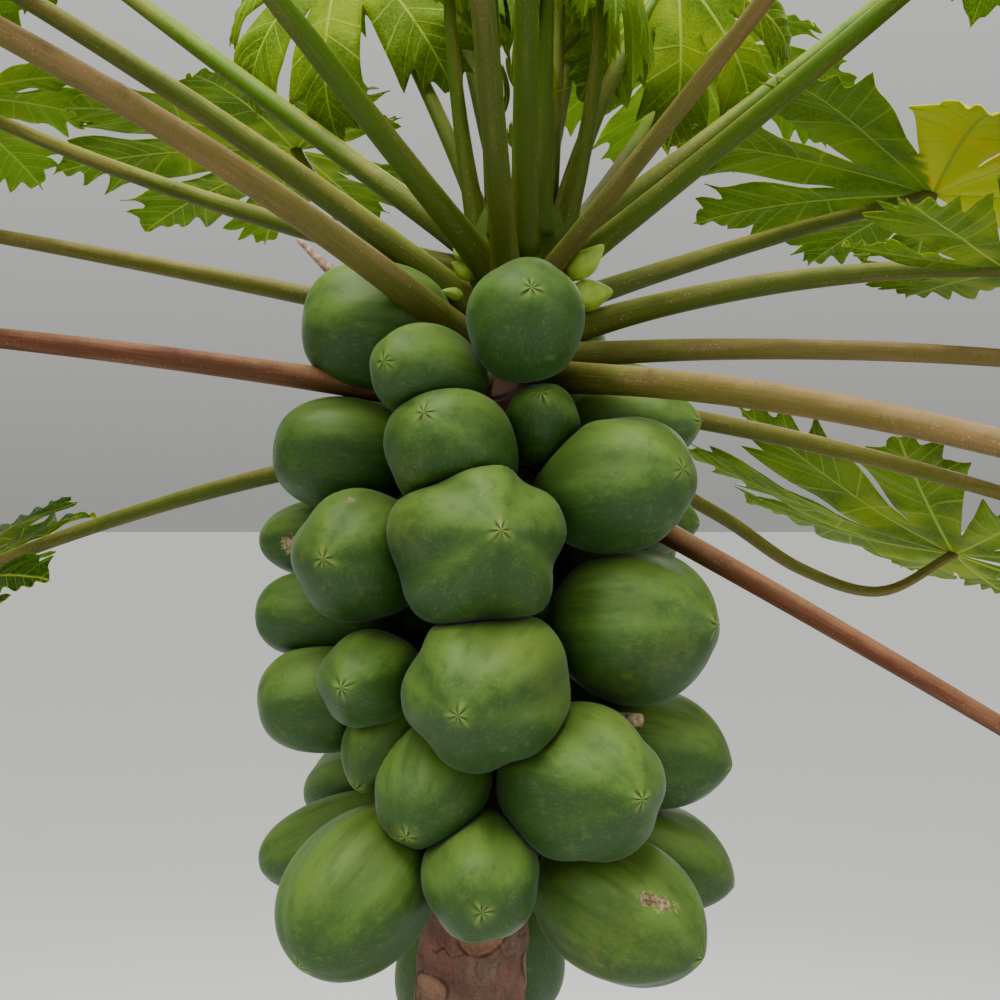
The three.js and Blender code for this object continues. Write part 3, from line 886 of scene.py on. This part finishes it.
def fruit_finish(name, settings, scabbed):
    """A waxy skin. Its skin attribute is the place in the fruit's own frame, from the tip back,
    and the attribute that is 1 where the skin faces the sky paints light on the upper side and
    shade on the underside, partly as the paler sun side that the fruit has."""
    finish = Finish(name, coat_weight=0.03, coat_roughness=0.4, specular_ior_level=0.26)
    finish.shader.inputs["Sheen Weight"].default_value = 0.13
    finish.shader.inputs["Sheen Roughness"].default_value = 0.3
    finish.shader.inputs["Sheen Tint"].default_value = (0.78, 0.90, 0.87, 1.0)
    place = finish.place()
    skin = finish.attribute("skin", "Vector")
    x, y, z = finish.split(skin)
    tone = finish.attribute("tone")
    sun = finish.attribute("sun")
    radial = (x * x + y * y) ** 0.5
    clouds = finish.noise(place, 11.0, 3.0, 0.5)
    mottle = finish.noise(place, 90.0, 4.0, 0.6)
    streaks = finish.noise(skin, (70.0, 70.0, 8.0), 4.0, 0.6)
    fine = finish.noise(skin, (420.0, 420.0, 60.0), 3.0)
    ribs = finish.noise(skin, (28.0, 28.0, 3.0), 2.0, 0.4)
    specks = finish.cells(place, 210.0)
    warts = finish.cells(place, 120.0)
    ripe = finish.noise(place, 8.0, 2.0, 0.4)
    angle = y.math("ARCTAN2", x)
    wander = (angle + tone * WANDER_PHASE).math("SINE") * STAR_WANDER
    crooked = angle + wander + (mottle - 0.5) * 0.12
    rays = (crooked * STAR_RAYS).math("COSINE")
    far = radial / (1.0 + (angle * 3.0 + tone * UNEVEN_PHASE).math("SINE") * STAR_UNEVEN)
    valley = (0.5 - (angle * FRUIT_LOBES).math("COSINE") * 0.5) ** 2
    # Painted shade on the underside and painted light on the upper side, from where the skin faces the
    # sky, partly as the fruit's paler sun side.
    shade = sun * 0.95 + clouds * 0.35 - 0.2
    light = sun * 0.62 + clouds * 0.4 + tone * 0.22 + streaks * 0.4 + ribs * 0.25
    front = (z + 0.03).between(0.0, 0.01)
    near = (1.0 - far.between(0.0045, 0.0092)) * front
    slit = rays.between(0.35, 0.9) * near * radial.between(0.0006, 0.0016)
    ridge = (rays * -1.0).between(-0.2, 0.8) * (1.0 - far.between(0.0035, 0.0115)) * front
    worn = mottle.between(0.38, 0.56)
    base = finish.layers(
        finish.mix(shade.between(-0.15, 0.8), settings.deep, settings.middle),
        (light.between(0.70, 1.55), settings.light),
        (fine.between(0.50, 0.74) * 0.11, settings.pale),
        (mottle.between(0.52, 0.74) * 0.10, settings.pale),
        ((1.0 - streaks.between(0.34, 0.52)) * 0.30, settings.deep),
        (ripe.between(0.56, 0.72) * mottle.between(0.35, 0.6) * 0.35, settings.ripe),
        # Painted shade: the valleys between the lobes are darker, in the deep green.
        (valley * radial.between(0.006, 0.02) * 0.25, settings.deep),
        ((1.0 - radial.between(0.003, 0.018)) * front * 0.3, settings.light),
        (ridge * (0.22 + worn * 0.25), settings.pale),
        (slit * (0.40 + worn * 0.30), settings.slit),
        # Pale specks and warts show only where the skin faces the sky, and fade into the painted shade
        # underneath.
        ((1.0 - specks.between(0.02, 0.10)) * 0.16 * sun, settings.pale),
        ((1.0 - warts.between(0.03, 0.13)) * 0.28 * sun, settings.pale),
    )
    roughness = 0.42 + mottle * 0.14 + clouds * 0.08
    relief = streaks * 0.3 + fine * 0.2 + mottle * 0.25 - slit * 0.5
    if scabbed:
        scab = finish.attribute("scab")
        ragged = finish.noise(place, 230.0, 5.0, 0.75)
        crust = (scab + ragged * 1.3 - 0.65).between(0.42, 0.55) * scab.between(0.02, 0.2)
        dry = finish.layers(
            settings.crust,
            (ragged.between(0.46, 0.60), settings.scab),
            (mottle.between(0.5, 0.65) * 0.6, settings.lichen),
        )
        base = finish.mix(crust * 0.9, base, dry)
        roughness = roughness + crust * 0.3
        relief = relief + crust * 0.8
    return finish.surface(base, roughness, relief, 0.2, 0.0018)


class PAPAYA_OT_fruit(bpy.types.Operator):
    """Makes the fruit packed round the stem, each pressed by its neighbours"""

    bl_idname = "papaya.fruit"
    bl_label = "Fruit"

    def execute(self, context):
        settings = context.scene.papaya_fruit
        fruits = [Fruit(index, row) for index, row in enumerate(FRUITS)]
        contacts = {fruit.index: [] for fruit in fruits}
        for i, a in enumerate(fruits):
            for b in fruits[i + 1:]:
                found = contact_of(a, b)
                if found:
                    normal, offset = found
                    contacts[a.index].append((normal, offset))
                    contacts[b.index].append((-normal, -offset))
        smooth = fruit_finish("papaya skin", settings, False)
        marked = fruit_finish("papaya skin with scabs", settings, True)
        marked_nodes = {fruit.node for fruit in fruits if fruit.index in SCABS}
        bunches = {}
        for fruit in fruits:
            meshes = bunches.setdefault(fruit.node, [])
            meshes.append(fruit_mesh(fruit, contacts[fruit.index], settings))
            meshes.append(fruit_stalk(fruit))
        for node, meshes in bunches.items():
            finish = marked if node in marked_nodes else smooth
            add_piece("papaya_" + node, joined(meshes, node), [finish], [node])
        return {"FINISHED"}


class Leaf:
    """Where one leaf stands and how its stalk and blade lie."""

    def __init__(self, index, row):
        turn, height, head, rise0, rise1, length, thickness, span = row[:8]
        self.nod, self.roll, self.swing, self.droop, hook, self.kind = row[8:]
        height *= MM
        foot = stem_middle(height) + heading(turn, 0) * float(stem_radius(height)) * STALK_INSET
        points = [foot - heading(head, rise0) * STALK_ROOT, foot]
        for step in range(STALK_STEPS):
            share = (step + 0.5) / STALK_STEPS
            bend = hook * max(0.0, 1.0 - (1.0 - share) * STALK_STEPS / HOOK_STEPS)
            foot = foot + heading(head, lerp(rise0, rise1, share) + bend) * length * MM / STALK_STEPS
            points.append(foot)
        self.path = Path(points)
        self.tip = foot
        self.head = head
        self.thickness = thickness * MM
        self.span = span * MM
        self.roll = math.radians(self.roll)
        self.index = index
        self.node = f"leaf_{index + 1:02d}"


def leaf_stalk(leaf):
    """A stalk that swells where it leaves the stem and where it meets the blade."""
    def swell_at(far, swell):
        return swell[0] * np.exp(-far * leaf.path.length / swell[1])

    def radius_at(share, angle):
        base = leaf.thickness / 2 * (1.0 - STALK_TAPER * share)
        swell = 1.0 + swell_at(share, FOOT_SWELL) + swell_at(1.0 - share, HEAD_SWELL)
        flat = 1.0 - 0.07 * np.cos(angle) ** 2 * np.cos(angle)
        return base * swell * flat

    return with_attributes(bar_along(leaf.path, radius_at, STALK_SEGMENTS, STALK_RINGS, mapped=True), 0)


def blade_grid(settings):
    """A flat grid for each lobe of a blade, side by side along X, each from -1 to 1."""
    bm = bmesh.new()
    for lobe in range(len(LOBES)):
        place = Matrix.Translation((GRID_PITCH * lobe, 0.0, 0.0))
        rows = FAN_ROWS + LOBE_ROWS
        bmesh.ops.create_grid(bm, x_segments=settings.across, y_segments=rows, size=1.0, matrix=place)
    return mesh_from(bm, "blade")


def half_width(row):
    """Half width of a lobe, slow in its notches and quick at the tips of its side lobes."""
    rows, widths = LOBE_WIDTHS.T
    step = np.clip(np.searchsorted(rows, row, side="right") - 1, 0, len(rows) - 2)
    share = (row - rows[step]) / (rows[step + 1] - rows[step])
    low, high = widths[step], widths[step + 1]
    eased = np.where(high > low, share ** 1.5, 1.0 - (1.0 - share) ** 1.5)
    return lerp(low, high, eased)


def flat_blade(grid, lobes):
    """Spreads the grids into one lobed blade of reach 1. Gives the place across and along the
    blade, its angle and reach, the distance from the lobe's rib, the share of the way to its tip,
    how far a point is to the side of its lobe, and the number of the lobe."""
    lobe = np.rint(grid[:, 0] / GRID_PITCH).astype(int)
    side = grid[:, 0] - GRID_PITCH * lobe
    share = (grid[:, 1] + 1.0) / 2.0
    row = share * (FAN_ROWS + LOBE_ROWS) - FAN_ROWS
    out = np.clip(row / LOBE_ROWS, 0.0, 1.0)
    off = np.abs(side)
    toward = np.where(side < 0, lobe - 1, lobe + 1)
    inner = (toward >= 0) & (toward < len(lobes))
    other = np.clip(toward, 0, len(lobes) - 1)
    middle, reach = np.radians(lobes[lobe, 0]), lobes[lobe, 1]
    edge_angle = (middle + np.radians(lobes[other, 0])) / 2
    outer_angle = middle + np.sign(side) * math.radians(LOBE_EDGE)
    spread = np.where(inner, edge_angle, outer_angle) - middle
    edge_reach = np.where(inner, (reach + lobes[other, 1]) / 2, reach)
    fan = SINUS_REACH * lerp(reach, edge_reach, off)
    fan_across = fan * np.sin(off * spread)
    fan_along = fan * np.cos(off * spread)
    start = SINUS_REACH * reach
    wander = np.clip(row + 1.3 * side * np.sin(math.pi * out), 0, LOBE_ROWS)
    width = half_width(wander) * reach
    fade = 1.0 - ramp(0.0, 0.36, out)
    across = side * width + fade * (fan_across - side * LOBE_WIDTHS[0, 1] * reach)
    along = lerp(start, reach, out) + (1.0 - fade) * SIDE_SWEEP * off * width
    along = along + fade * (fan_along - start)
    down = np.clip(row / FAN_ROWS + 1.0, 0.0, 1.0)
    across = np.where(row <= 0, fan_across * down, across)
    along = np.where(row <= 0, fan_along * down, along)
    x = across * np.cos(middle) + along * np.sin(middle)
    y = along * np.cos(middle) - across * np.sin(middle)
    return x, y, np.arctan2(x, y), np.hypot(x, y), across, out, off, lobe


def leaf_blade(leaf, grid_mesh):
    """The lobed blade at the head of a stalk, sagging from its middle."""
    mesh = grid_mesh.copy()
    dice = np.random.default_rng(SEED * 1000 + leaf.index)
    lobes = LOBES + dice.normal(0.0, 1.0, LOBES.shape) * (2.2, 0.025)
    x, y, angle, reach, rib, out, off, lobe = flat_blade(points_of(mesh), lobes)
    share = leaf.droop / DROOP
    phases = dice.uniform(0.0, 2 * math.pi, 4)
    ripple = RIPPLE * np.cos(RIPPLES * angle) * reach
    curl = CURL * reach * np.sin(3 * angle + phases[0])
    twist = TWIST * reach * np.sin(5 * angle + phases[1])
    lift = dice.normal(0.0, LOBE_TILT, len(LOBES))[lobe]
    tilts = lift * np.clip(reach - SINUS_REACH, 0.0, 1.0) ** 1.3
    flutter = FLUTTER * np.sin(30 * out + 4 * angle + phases[2]) * off * ramp(0.0, 0.3, out)
    fold = KEEL * np.abs(rib) * ramp(0.0, 0.3, out)
    quilt = QUILT * np.abs(np.sin(math.pi * VEIN_BEATS * out)) * off * (1.0 - out) * (out > 0)
    sag = leaf.droop * reach * reach + TIP_SAG * share * np.clip(reach - 0.6, 0, 1) ** 2
    pull = 1.0 - DRAW_IN * share * reach * reach
    z = leaf.span * (ripple + curl + twist + tilts + flutter + fold + quilt - sag)
    x = x * pull * leaf.span
    y = y * pull * leaf.span
    turned = np.stack([
        x * math.cos(leaf.roll) + z * math.sin(leaf.roll),
        y,
        z * math.cos(leaf.roll) - x * math.sin(leaf.roll),
    ])
    face = leaf.head + leaf.swing
    basis = np.stack([heading(face - 90, 0), heading(face, -leaf.nod), heading(face, 90 - leaf.nod)])
    place_points(mesh, leaf.tip + turned.T @ basis)
    write_uv(mesh, 0.5 + rib * leaf.span, out)
    low, high = AGED.get(leaf.node, NOT_AGED)
    within = np.clip(np.degrees(angle) - lobes[lobe, 0], -LOBE_TURN, LOBE_TURN)
    age = ramp(low, high, lobes[lobe, 0] + within)
    return with_attributes(mesh, 1, age=age, tone=dice.random())


def blade_finish(name, green, settings, gloss):
    """A blade's finish, from a map that holds the distance from the rib and the way along it."""
    finish = Finish(name, subsurface_weight=0.45, subsurface_scale=0.004, specular_ior_level=0.09)
    finish.shader.inputs["Subsurface Radius"].default_value = (0.8, 1.0, 0.05)
    place = finish.place()
    u, v, _ = finish.split(finish.add("ShaderNodeUVMap", {"uv_map": "pattern"}))
    off = (u - 0.5).math("ABSOLUTE")
    rib = 1.0 - (off + v * 0.0006).between(0.0008, 0.0024)
    beat = ((v * VEIN_BEATS).math("FRACT") - 0.5).math("ABSOLUTE")
    side = (beat.between(0.43, 0.485)) * v.between(0.0, 0.03) * (1.0 - v.between(0.9, 0.98))
    clouds = finish.noise(place, 14.0, 3.0)
    net = finish.cells(place, 170.0, "DISTANCE_TO_EDGE")
    fine = finish.noise(place, 260.0, 3.0)
    tone = finish.attribute("tone")
    inner = 1.0 - v.between(0.0, 0.5)
    aged = clouds.between(0.5, 0.7) * (1.0 - v.between(0.0, 0.4))
    base = finish.layers(
        finish.mix(clouds.between(0.3, 0.68), shaded(green, 0.55), green),
        ((tone * 0.6 + fine * 0.7).between(0.5, 1.0) * 0.7, shaded(green, 1.45)),
        (inner * clouds.between(0.45, 0.6) * 0.16, settings.yellow),
        (finish.attribute("age") * 0.95, finish.mix(aged, settings.yellow, settings.gold)),
        ((1.0 - net.between(0.0, 0.1)) * 0.15, settings.vein),
        (side * 0.5, settings.vein),
        (rib * 0.85, settings.vein),
    )
    relief = rib + side * 0.6 + net.between(0.0, 0.2) * 0.2 + fine * 0.1
    return finish.surface(base, gloss + clouds * 0.15, relief, 0.5, 0.0016)


# Colours of the upper side and the underside of each kind of stalk, and of its ageing patches.
# The upper side is lighter and the underside darker partly as the stalk's own tones and partly as painted
# top light and underside shade.
STALK_COLOURS = {
    "red": ((0.37, 0.170, 0.085), (0.110, 0.036, 0.014)),
    "brown": ((0.365, 0.235, 0.108), (0.145, 0.108, 0.022)),
    "tan": ((0.31, 0.240, 0.075), (0.105, 0.105, 0.008)),
    "olive": ((0.250, 0.250, 0.040), (0.062, 0.088, 0.003)),
    "green": ((0.150, 0.225, 0.007), (0.056, 0.124, 0.001)),
}
RUSSET = ((0.27, 0.115, 0.050), (0.150, 0.065, 0.028))
CHALK = (0.50, 0.50, 0.50)


def stalk_finish(kind):
    """A stalk's finish, from a map that holds the angle from its upper side."""
    upper, lower = STALK_COLOURS[kind]
    finish = Finish(f"papaya stalk {kind}", coat_weight=0.02, coat_roughness=0.4, specular_ior_level=0.18)
    u, v, _ = finish.split(finish.add("ShaderNodeUVMap", {"uv_map": "pattern"}))
    place = finish.place()
    flat = finish.add("ShaderNodeCombineXYZ", inputs={0: u, 1: v})
    wander = finish.noise(place, 24.0, 4.0)
    grain = finish.noise(place, 120.0, 4.0, 0.65)
    specks = finish.cells(place, 150.0)
    flecks = finish.cells(place, 260.0)
    streaks = finish.noise(flat, (16.0, 9.0, 1.0), 4.0, 0.6)
    rings = finish.noise(flat, (3.0, 160.0, 1.0), 3.0)
    patches = finish.noise(flat, (2.2, 5.0, 1.0), 3.0, 0.6)
    threads = finish.noise(flat, (60.0, 12.0, 1.0), 4.0, 0.65)
    # Partly painted light and shade: lighter towards the upper side and darker towards the underside.
    share = (u + wander * 0.5 + streaks * 0.35 - 0.42).between(0.05, 0.55)
    fresh = 0.25 if kind == "red" else 0.85
    near = (1.0 - (v + (wander - 0.5) * 0.4).between(0.04, 0.36)) * fresh
    green = finish.mix(share, *STALK_COLOURS["olive"])
    russet = blended(upper, RUSSET[0], 0.65)
    chalk = blended(upper, CHALK, 0.5)
    pale = shaded(upper, 1.5)
    dark = shaded(lower, 0.5)
    base = finish.layers(
        finish.mix(near, finish.mix(share, upper, lower), green),
        (v.between(0.30, 0.75) * 0.45, blended(lower, RUSSET[1], 0.5)),
        (patches.between(0.46, 0.62) * (0.75 - share * 0.35) * (1.0 - near * 0.6), russet),
        (streaks.between(0.54, 0.74) * 0.3 * (1.0 - share), pale),
        (streaks.between(0.42, 0.3) * 0.35, dark),
        (threads.between(0.54, 0.70) * 0.2, pale),
        (threads.between(0.44, 0.30) * 0.2, dark),
        ((1.0 - specks.between(0.03, 0.12)) * 0.40, pale),
        ((1.0 - flecks.between(0.08, 0.22)) * patches.between(0.40, 0.60) * 0.5, chalk),
        (rings.between(0.56, 0.72) * 0.3, dark),
        (wander.between(0.58, 0.74) * 0.35, dark),
        # Painted shade on the underside.
        (u.between(0.5, 0.95) * 0.45, dark),
    )
    relief = grain * 0.4 + rings * 0.4 + threads * 0.5 + streaks * 0.4
    return finish.surface(base, 0.40 + grain * 0.28, relief, 0.4, 0.0018)


class PAPAYA_OT_leaves(bpy.types.Operator):
    """Makes the crown of lobed leaves on their long stalks"""

    bl_idname = "papaya.leaves"
    bl_label = "Leaves"

    def execute(self, context):
        settings = context.scene.papaya_leaf
        grid = blade_grid(settings)
        stalks = {kind: stalk_finish(kind) for kind in STALK_COLOURS}
        sides = blade_pair("papaya blade", settings.top, settings.under, settings)
        for index, row in enumerate(LEAVES):
            leaf = Leaf(index, row)
            blade = thick_blade(leaf_blade(leaf, grid), settings.thickness)
            mesh = joined([leaf_stalk(leaf), blade], leaf.node)
            add_piece("papaya_" + leaf.node, mesh, [stalks[leaf.kind], *sides], [leaf.node])
        bpy.data.meshes.remove(grid)
        return {"FINISHED"}


def blade_pair(name, top, under, settings):
    """The finishes of a blade's upper side and underside."""
    return (
        blade_finish(name + " top", top, settings, 0.50),
        blade_finish(name + " under", under, settings, 0.60),
    )


def thick_blade(mesh, thickness):
    """Closes a blade into a thin solid, with the underside's own finish."""
    bm = bmesh.new()
    bm.from_mesh(mesh)
    bmesh.ops.remove_doubles(bm, verts=bm.verts, dist=MERGE)
    bmesh.ops.recalc_face_normals(bm, faces=bm.faces)
    middle = max(bm.faces, key=lambda f: f.calc_area())
    if middle.normal.z < 0:
        bmesh.ops.reverse_faces(bm, faces=bm.faces)
    upper = set(bm.faces)
    bmesh.ops.solidify(bm, geom=list(bm.faces), thickness=thickness)
    for face in bm.faces:
        if face not in upper:
            face.material_index = 2
    bm.to_mesh(mesh)
    bm.free()
    return mesh


def young_blade(leaf, grid_mesh, hang):
    """A young blade, whose lobes still stand up round the end of its stalk or hang down from it."""
    mesh = grid_mesh.copy()
    _, _, angle, reach, rib, out, _, _ = flat_blade(points_of(mesh), LOBES)
    axis = leaf.path.tangent(1.0)
    first = np.cross((0.0, 1.0, 0.0), axis)
    second = np.cross(axis, first)
    if hang:
        wide = HANG_WIDTH * (1.0 - np.exp(-3.0 * reach)) + 0.05 * np.sin(5 * angle + leaf.index) * reach
        rise = HANG_RISE - (HANG_DROP + 0.16 * np.sin(2 * angle + leaf.index)) * reach ** 1.9
    else:
        wide = SHUT_FOOT + SHUT_WIDTH * np.sin(math.pi * np.clip(reach, 0, 1) ** 0.8)
        rise = reach
    wide = wide + 0.25 * np.abs(rib)
    across = np.cos(angle)[:, None] * first + np.sin(angle)[:, None] * second
    place_points(mesh, leaf.tip + leaf.span * (wide[:, None] * across + rise[:, None] * axis))
    write_uv(mesh, 0.5 + rib * leaf.span, out)
    return with_attributes(mesh, 1, age=0.0, tone=0.5)


# Degrees and millimetres: turn, height of the foot, distance out, rise, length and thickness of the
# stalk, and reach of the blade of each young leaf. The last ones have opened and hang.
YOUNG = [
    (0, 1868, 14, 80, 80, 9, 72), (137, 1868, 14, 80, 70, 8, 66), (-85, 1868, 14, 81, 62, 8, 58),
    (52, 1868, 12, 82, 50, 7, 50), (-170, 1868, 12, 82, 42, 6, 42), (-32, 1868, 10, 84, 34, 6, 34),
    (28, 1838, 38, 86, 248, 19, 92), (78, 1840, 38, 74, 214, 18, 104), (-28, 1838, 38, 84, 240, 18, 86),
    (-78, 1842, 38, 79, 232, 17, 88), (140, 1842, 37, 82, 236, 17, 96), (-145, 1842, 37, 82, 226, 17, 90),
]
YOUNG_SHUT = 6
YOUNG_RISE = 88
YOUNG_FIRST = 100
# Shares of a young blade's span: how wide, high and deep it hangs, and how wide it is while shut.
HANG_WIDTH = 0.46
HANG_RISE = 0.05
HANG_DROP = 0.80
SHUT_FOOT = 0.02
SHUT_WIDTH = 0.17


class PAPAYA_OT_young(bpy.types.Operator):
    """Makes the young leaves at the tip of the stem"""

    bl_idname = "papaya.young"
    bl_label = "Young leaves"

    def execute(self, context):
        settings = context.scene.papaya_leaf
        grid = blade_grid(settings)
        sides = blade_pair("papaya young blade", settings.young_top, settings.young_under, settings)
        meshes = []
        for index, (turn, height, out, rise, long, thick, span) in enumerate(YOUNG):
            row = (turn, height, turn, rise, YOUNG_RISE, long, thick, span, 0, 0, 0, 0, 0, "green")
            leaf = Leaf(YOUNG_FIRST + index, row)
            foot = off_stem(turn, height, out)
            leaf.path = Path(leaf.path.places[::PATH_SAMPLES] + foot - leaf.path.places[0])
            leaf.tip = leaf.path.places[-1]
            blade = young_blade(leaf, grid, index >= YOUNG_SHUT)
            meshes += [leaf_stalk(leaf), thick_blade(blade, settings.thickness / 2)]
        mesh = joined(meshes, YOUNG_NODE)
        add_piece("papaya_young_leaves", mesh, [stalk_finish("green"), *sides], [YOUNG_NODE])
        bpy.data.meshes.remove(grid)
        return {"FINISHED"}


# Degrees and millimetres: turn, height, distance out, length, girth and rise of each bud.
BUDS = [
    (52, 1812, 76, 46, 25, 34), (62, 1784, 74, 46, 31, 4), (-56, 1806, 60, 26, 16, 30),
    (-110, 1790, 62, 28, 17, 20), (140, 1794, 64, 30, 18, 22), (-165, 1800, 60, 26, 16, 30),
    (-66, 1786, 62, 24, 14, 10), (100, 1822, 58, 18, 10, 45), (-96, 1826, 56, 16, 9, 55),
]

BUD_STALK_RADIUS = 0.0035
BUD_STALK_DROP = 0.01
BUD_STALK_START = 0.03

# Dry remains of old stalks, in metres: the radius of each at its first and its last point, and its
# points.
DRY_STALKS = [
    (0.017, 0.0020, [
        (0.085, 0.030, 1.775), (0.010, 0.045, 1.785), (-0.045, 0.050, 1.808), (-0.0885, 0.050, 1.8465),
    ]),
    (0.006, 0.0058, [(0.150, -0.055, 1.414), (0.185, -0.075, 1.412), (0.224, -0.099, 1.411)]),
]


def tapered_stalk(points, first, last, segments, rings):
    """A stalk through points, from its first radius to its last."""
    return bar_along(Path(points), lambda share, angle: lerp(first, last, share), segments, rings)


class PAPAYA_OT_buds(bpy.types.Operator):
    """Makes the newest fruit, the flower buds between the feet of the stalks and the dry remains of
    old stalks"""

    bl_idname = "papaya.buds"
    bl_label = "Buds"

    def execute(self, context):
        settings = context.scene.papaya_bud
        meshes = []
        for turn, height, out, long, girth, rise in BUDS:
            axis = heading(turn, rise)
            middle = off_stem(turn, height, out)
            mesh, ball, angle = ball_mesh(segments=24, rings=16)
            first, second = sides_of(axis)
            slim = 1.0 - 0.45 * ramp(-0.2, 1.0, ball[:, 2])
            slim = slim * (1.0 - 0.05 * (1.0 - np.cos(FRUIT_LOBES * angle)))
            across = ball[:, :1] * first + ball[:, 1:2] * second
            points = middle + across * (slim * girth * MM / 2)[:, None]
            place_points(mesh, points + ball[:, 2:] * axis * long * MM / 2)
            foot = stem_middle(middle[2] - BUD_STALK_DROP) + heading(turn, 0) * BUD_STALK_START
            route = [foot, (foot + middle) / 2, middle]
            meshes += [mesh, tapered_stalk(route, BUD_STALK_RADIUS, BUD_STALK_RADIUS, 8, 5)]
        for first, last, points in DRY_STALKS:
            meshes.append(with_attributes(tapered_stalk(points, first, last, 14, 12), 1))
        finishes = [self.bud_finish(settings), self.dry_finish(settings)]
        add_piece("papaya_buds", joined(meshes, "buds"), finishes)
        return {"FINISHED"}

    def bud_finish(self, settings):
        finish = Finish("papaya bud", subsurface_weight=0.2, subsurface_scale=0.004)
        place = finish.place()
        clouds = finish.noise(place, 60.0, 3.0)
        fine = finish.noise(place, 400.0, 3.0)
        base = finish.layers(
            settings.green,
            (clouds.between(0.35, 0.65), settings.light),
            (fine.between(0.5, 0.8) * 0.25, settings.pale),
        )
        return finish.surface(base, 0.4 + clouds * 0.2, fine * 0.4 + clouds * 0.6, 0.2, 0.001)

    def dry_finish(self, settings):
        finish = Finish("papaya dry stalk", roughness=0.85, specular_ior_level=0.2)
        grain = finish.noise(finish.place(), 150.0, 4.0, 0.65)
        base = finish.mix(grain.between(0.35, 0.62), settings.dry_dark, settings.dry)
        return finish.surface(base, None, grain, 0.5, 0.002)


# Name, place, target, side and power of each light panel, in metres and watts.
PANELS = (
    ("sky panel", (-0.3, -1.1, 4.4), (0.1, 0.0, 1.6), 2.4, 225.0),
    ("key panel", (-2.3, -2.4, 3.3), (0.1, 0.0, 1.5), 1.3, 36.0),
    ("fill panel", (2.9, -1.6, 2.1), (0.1, 0.0, 1.5), 2.0, 37.0),
    ("back panel", (1.0, 3.2, 3.4), (0.1, 0.0, 1.8), 2.0, 80.0),
)


class PAPAYA_OT_stage(bpy.types.Operator):
    """Lays the floor and sets the soft studio light and the camera"""

    bl_idname = "papaya.stage"
    bl_label = "Floor, light and camera"

    def execute(self, context):
        settings = context.scene.papaya_stage
        bm = bmesh.new()
        bmesh.ops.create_grid(bm, x_segments=1, y_segments=1, size=settings.floor_size / 2)
        floor = bpy.data.objects.new("floor", mesh_from(bm, "floor"))
        context.scene.collection.objects.link(floor)
        finish = Finish("floor", roughness=0.9)
        grain = finish.noise(finish.place(), 3.0, 3.0)
        finish.feed("Base Color", finish.mix(grain, settings.floor, shaded(settings.floor, 1.04)))
        floor.data.materials.append(finish.material)
        self.lights(context, settings)
        self.camera(context, settings)
        return {"FINISHED"}

    def lights(self, context, settings):
        """An overcast sky, bright overhead and dim at the horizon, and soft panels."""
        world = bpy.data.worlds.new("studio air")
        world.use_nodes = True
        tree = world.node_tree
        background = tree.nodes["Background"]
        place = tree.nodes.new("ShaderNodeTexCoord")
        parts = tree.nodes.new("ShaderNodeSeparateXYZ")
        sky = tree.nodes.new("ShaderNodeMix")
        sky.data_type = "RGBA"
        for key, strength in (("A_Color", settings.horizon), ("B_Color", settings.zenith)):
            tone = (*(c * strength for c in settings.air), 1.0)
            by_identifier(sky.inputs, key).default_value = tone
        tree.links.new(place.outputs["Generated"], parts.inputs[0])
        tree.links.new(parts.outputs["Z"], sky.inputs[0])
        tree.links.new(by_identifier(sky.outputs, "Result_Color"), background.inputs["Color"])
        context.scene.world = world
        for name, spot, target, size, power in PANELS:
            light = bpy.data.lights.new(name, "AREA")
            light.size = size
            light.energy = power
            lamp = bpy.data.objects.new(name, light)
            lamp.matrix_world = aimed(spot, target)
            context.scene.collection.objects.link(lamp)

    def camera(self, context, settings):
        camera = bpy.data.cameras.new("camera")
        camera.lens = settings.lens
        camera.sensor_width = 36.0
        camera.clip_end = 400.0
        viewer = bpy.data.objects.new("camera", camera)
        spot = (settings.camera_side, -settings.camera_distance, settings.camera_height)
        viewer.matrix_world = aimed(spot, (settings.camera_side, 0.0, settings.camera_height))
        context.scene.collection.objects.link(viewer)
        context.scene.camera = viewer


def aimed(spot, target):
    """A transform at a spot whose -Z looks at a target."""
    look = Vector(target) - Vector(spot)
    return Matrix.Translation(spot) @ look.to_track_quat("-Z", "Y").to_matrix().to_4x4()


class PAPAYA_PT_panel(bpy.types.Panel):
    """Lists the plant's parts and their sizes and colours"""

    bl_idname = "PAPAYA_PT_panel"
    bl_label = "Papaya tree"
    bl_space_type = "VIEW_3D"
    bl_region_type = "UI"
    bl_category = "Papaya"

    def draw(self, context):
        for name, group in SETTINGS.items():
            box = self.layout.box()
            box.label(text=group.__doc__)
            for key in group.__annotations__:
                box.prop(getattr(context.scene, name), key)
        for operator in OPERATORS:
            self.layout.operator(operator.bl_idname)


OPERATORS = (
    PAPAYA_OT_stage,
    PAPAYA_OT_stem,
    PAPAYA_OT_fruit,
    PAPAYA_OT_leaves,
    PAPAYA_OT_young,
    PAPAYA_OT_buds,
)


def register():
    for group in SETTINGS.values():
        bpy.utils.register_class(group)
    for name, group in SETTINGS.items():
        setattr(bpy.types.Scene, name, PointerProperty(type=group))
    for operator in OPERATORS:
        bpy.utils.register_class(operator)
    bpy.utils.register_class(PAPAYA_PT_panel)


def unregister():
    bpy.utils.unregister_class(PAPAYA_PT_panel)
    for operator in reversed(OPERATORS):
        bpy.utils.unregister_class(operator)
    for name, group in SETTINGS.items():
        delattr(bpy.types.Scene, name)
        bpy.utils.unregister_class(group)


def main():
    register()
    bpy.ops.papaya.stage()
    bpy.ops.papaya.stem()
    bpy.ops.papaya.fruit()
    bpy.ops.papaya.leaves()
    bpy.ops.papaya.young()
    bpy.ops.papaya.buds()


if __name__ == "__main__":
    main()
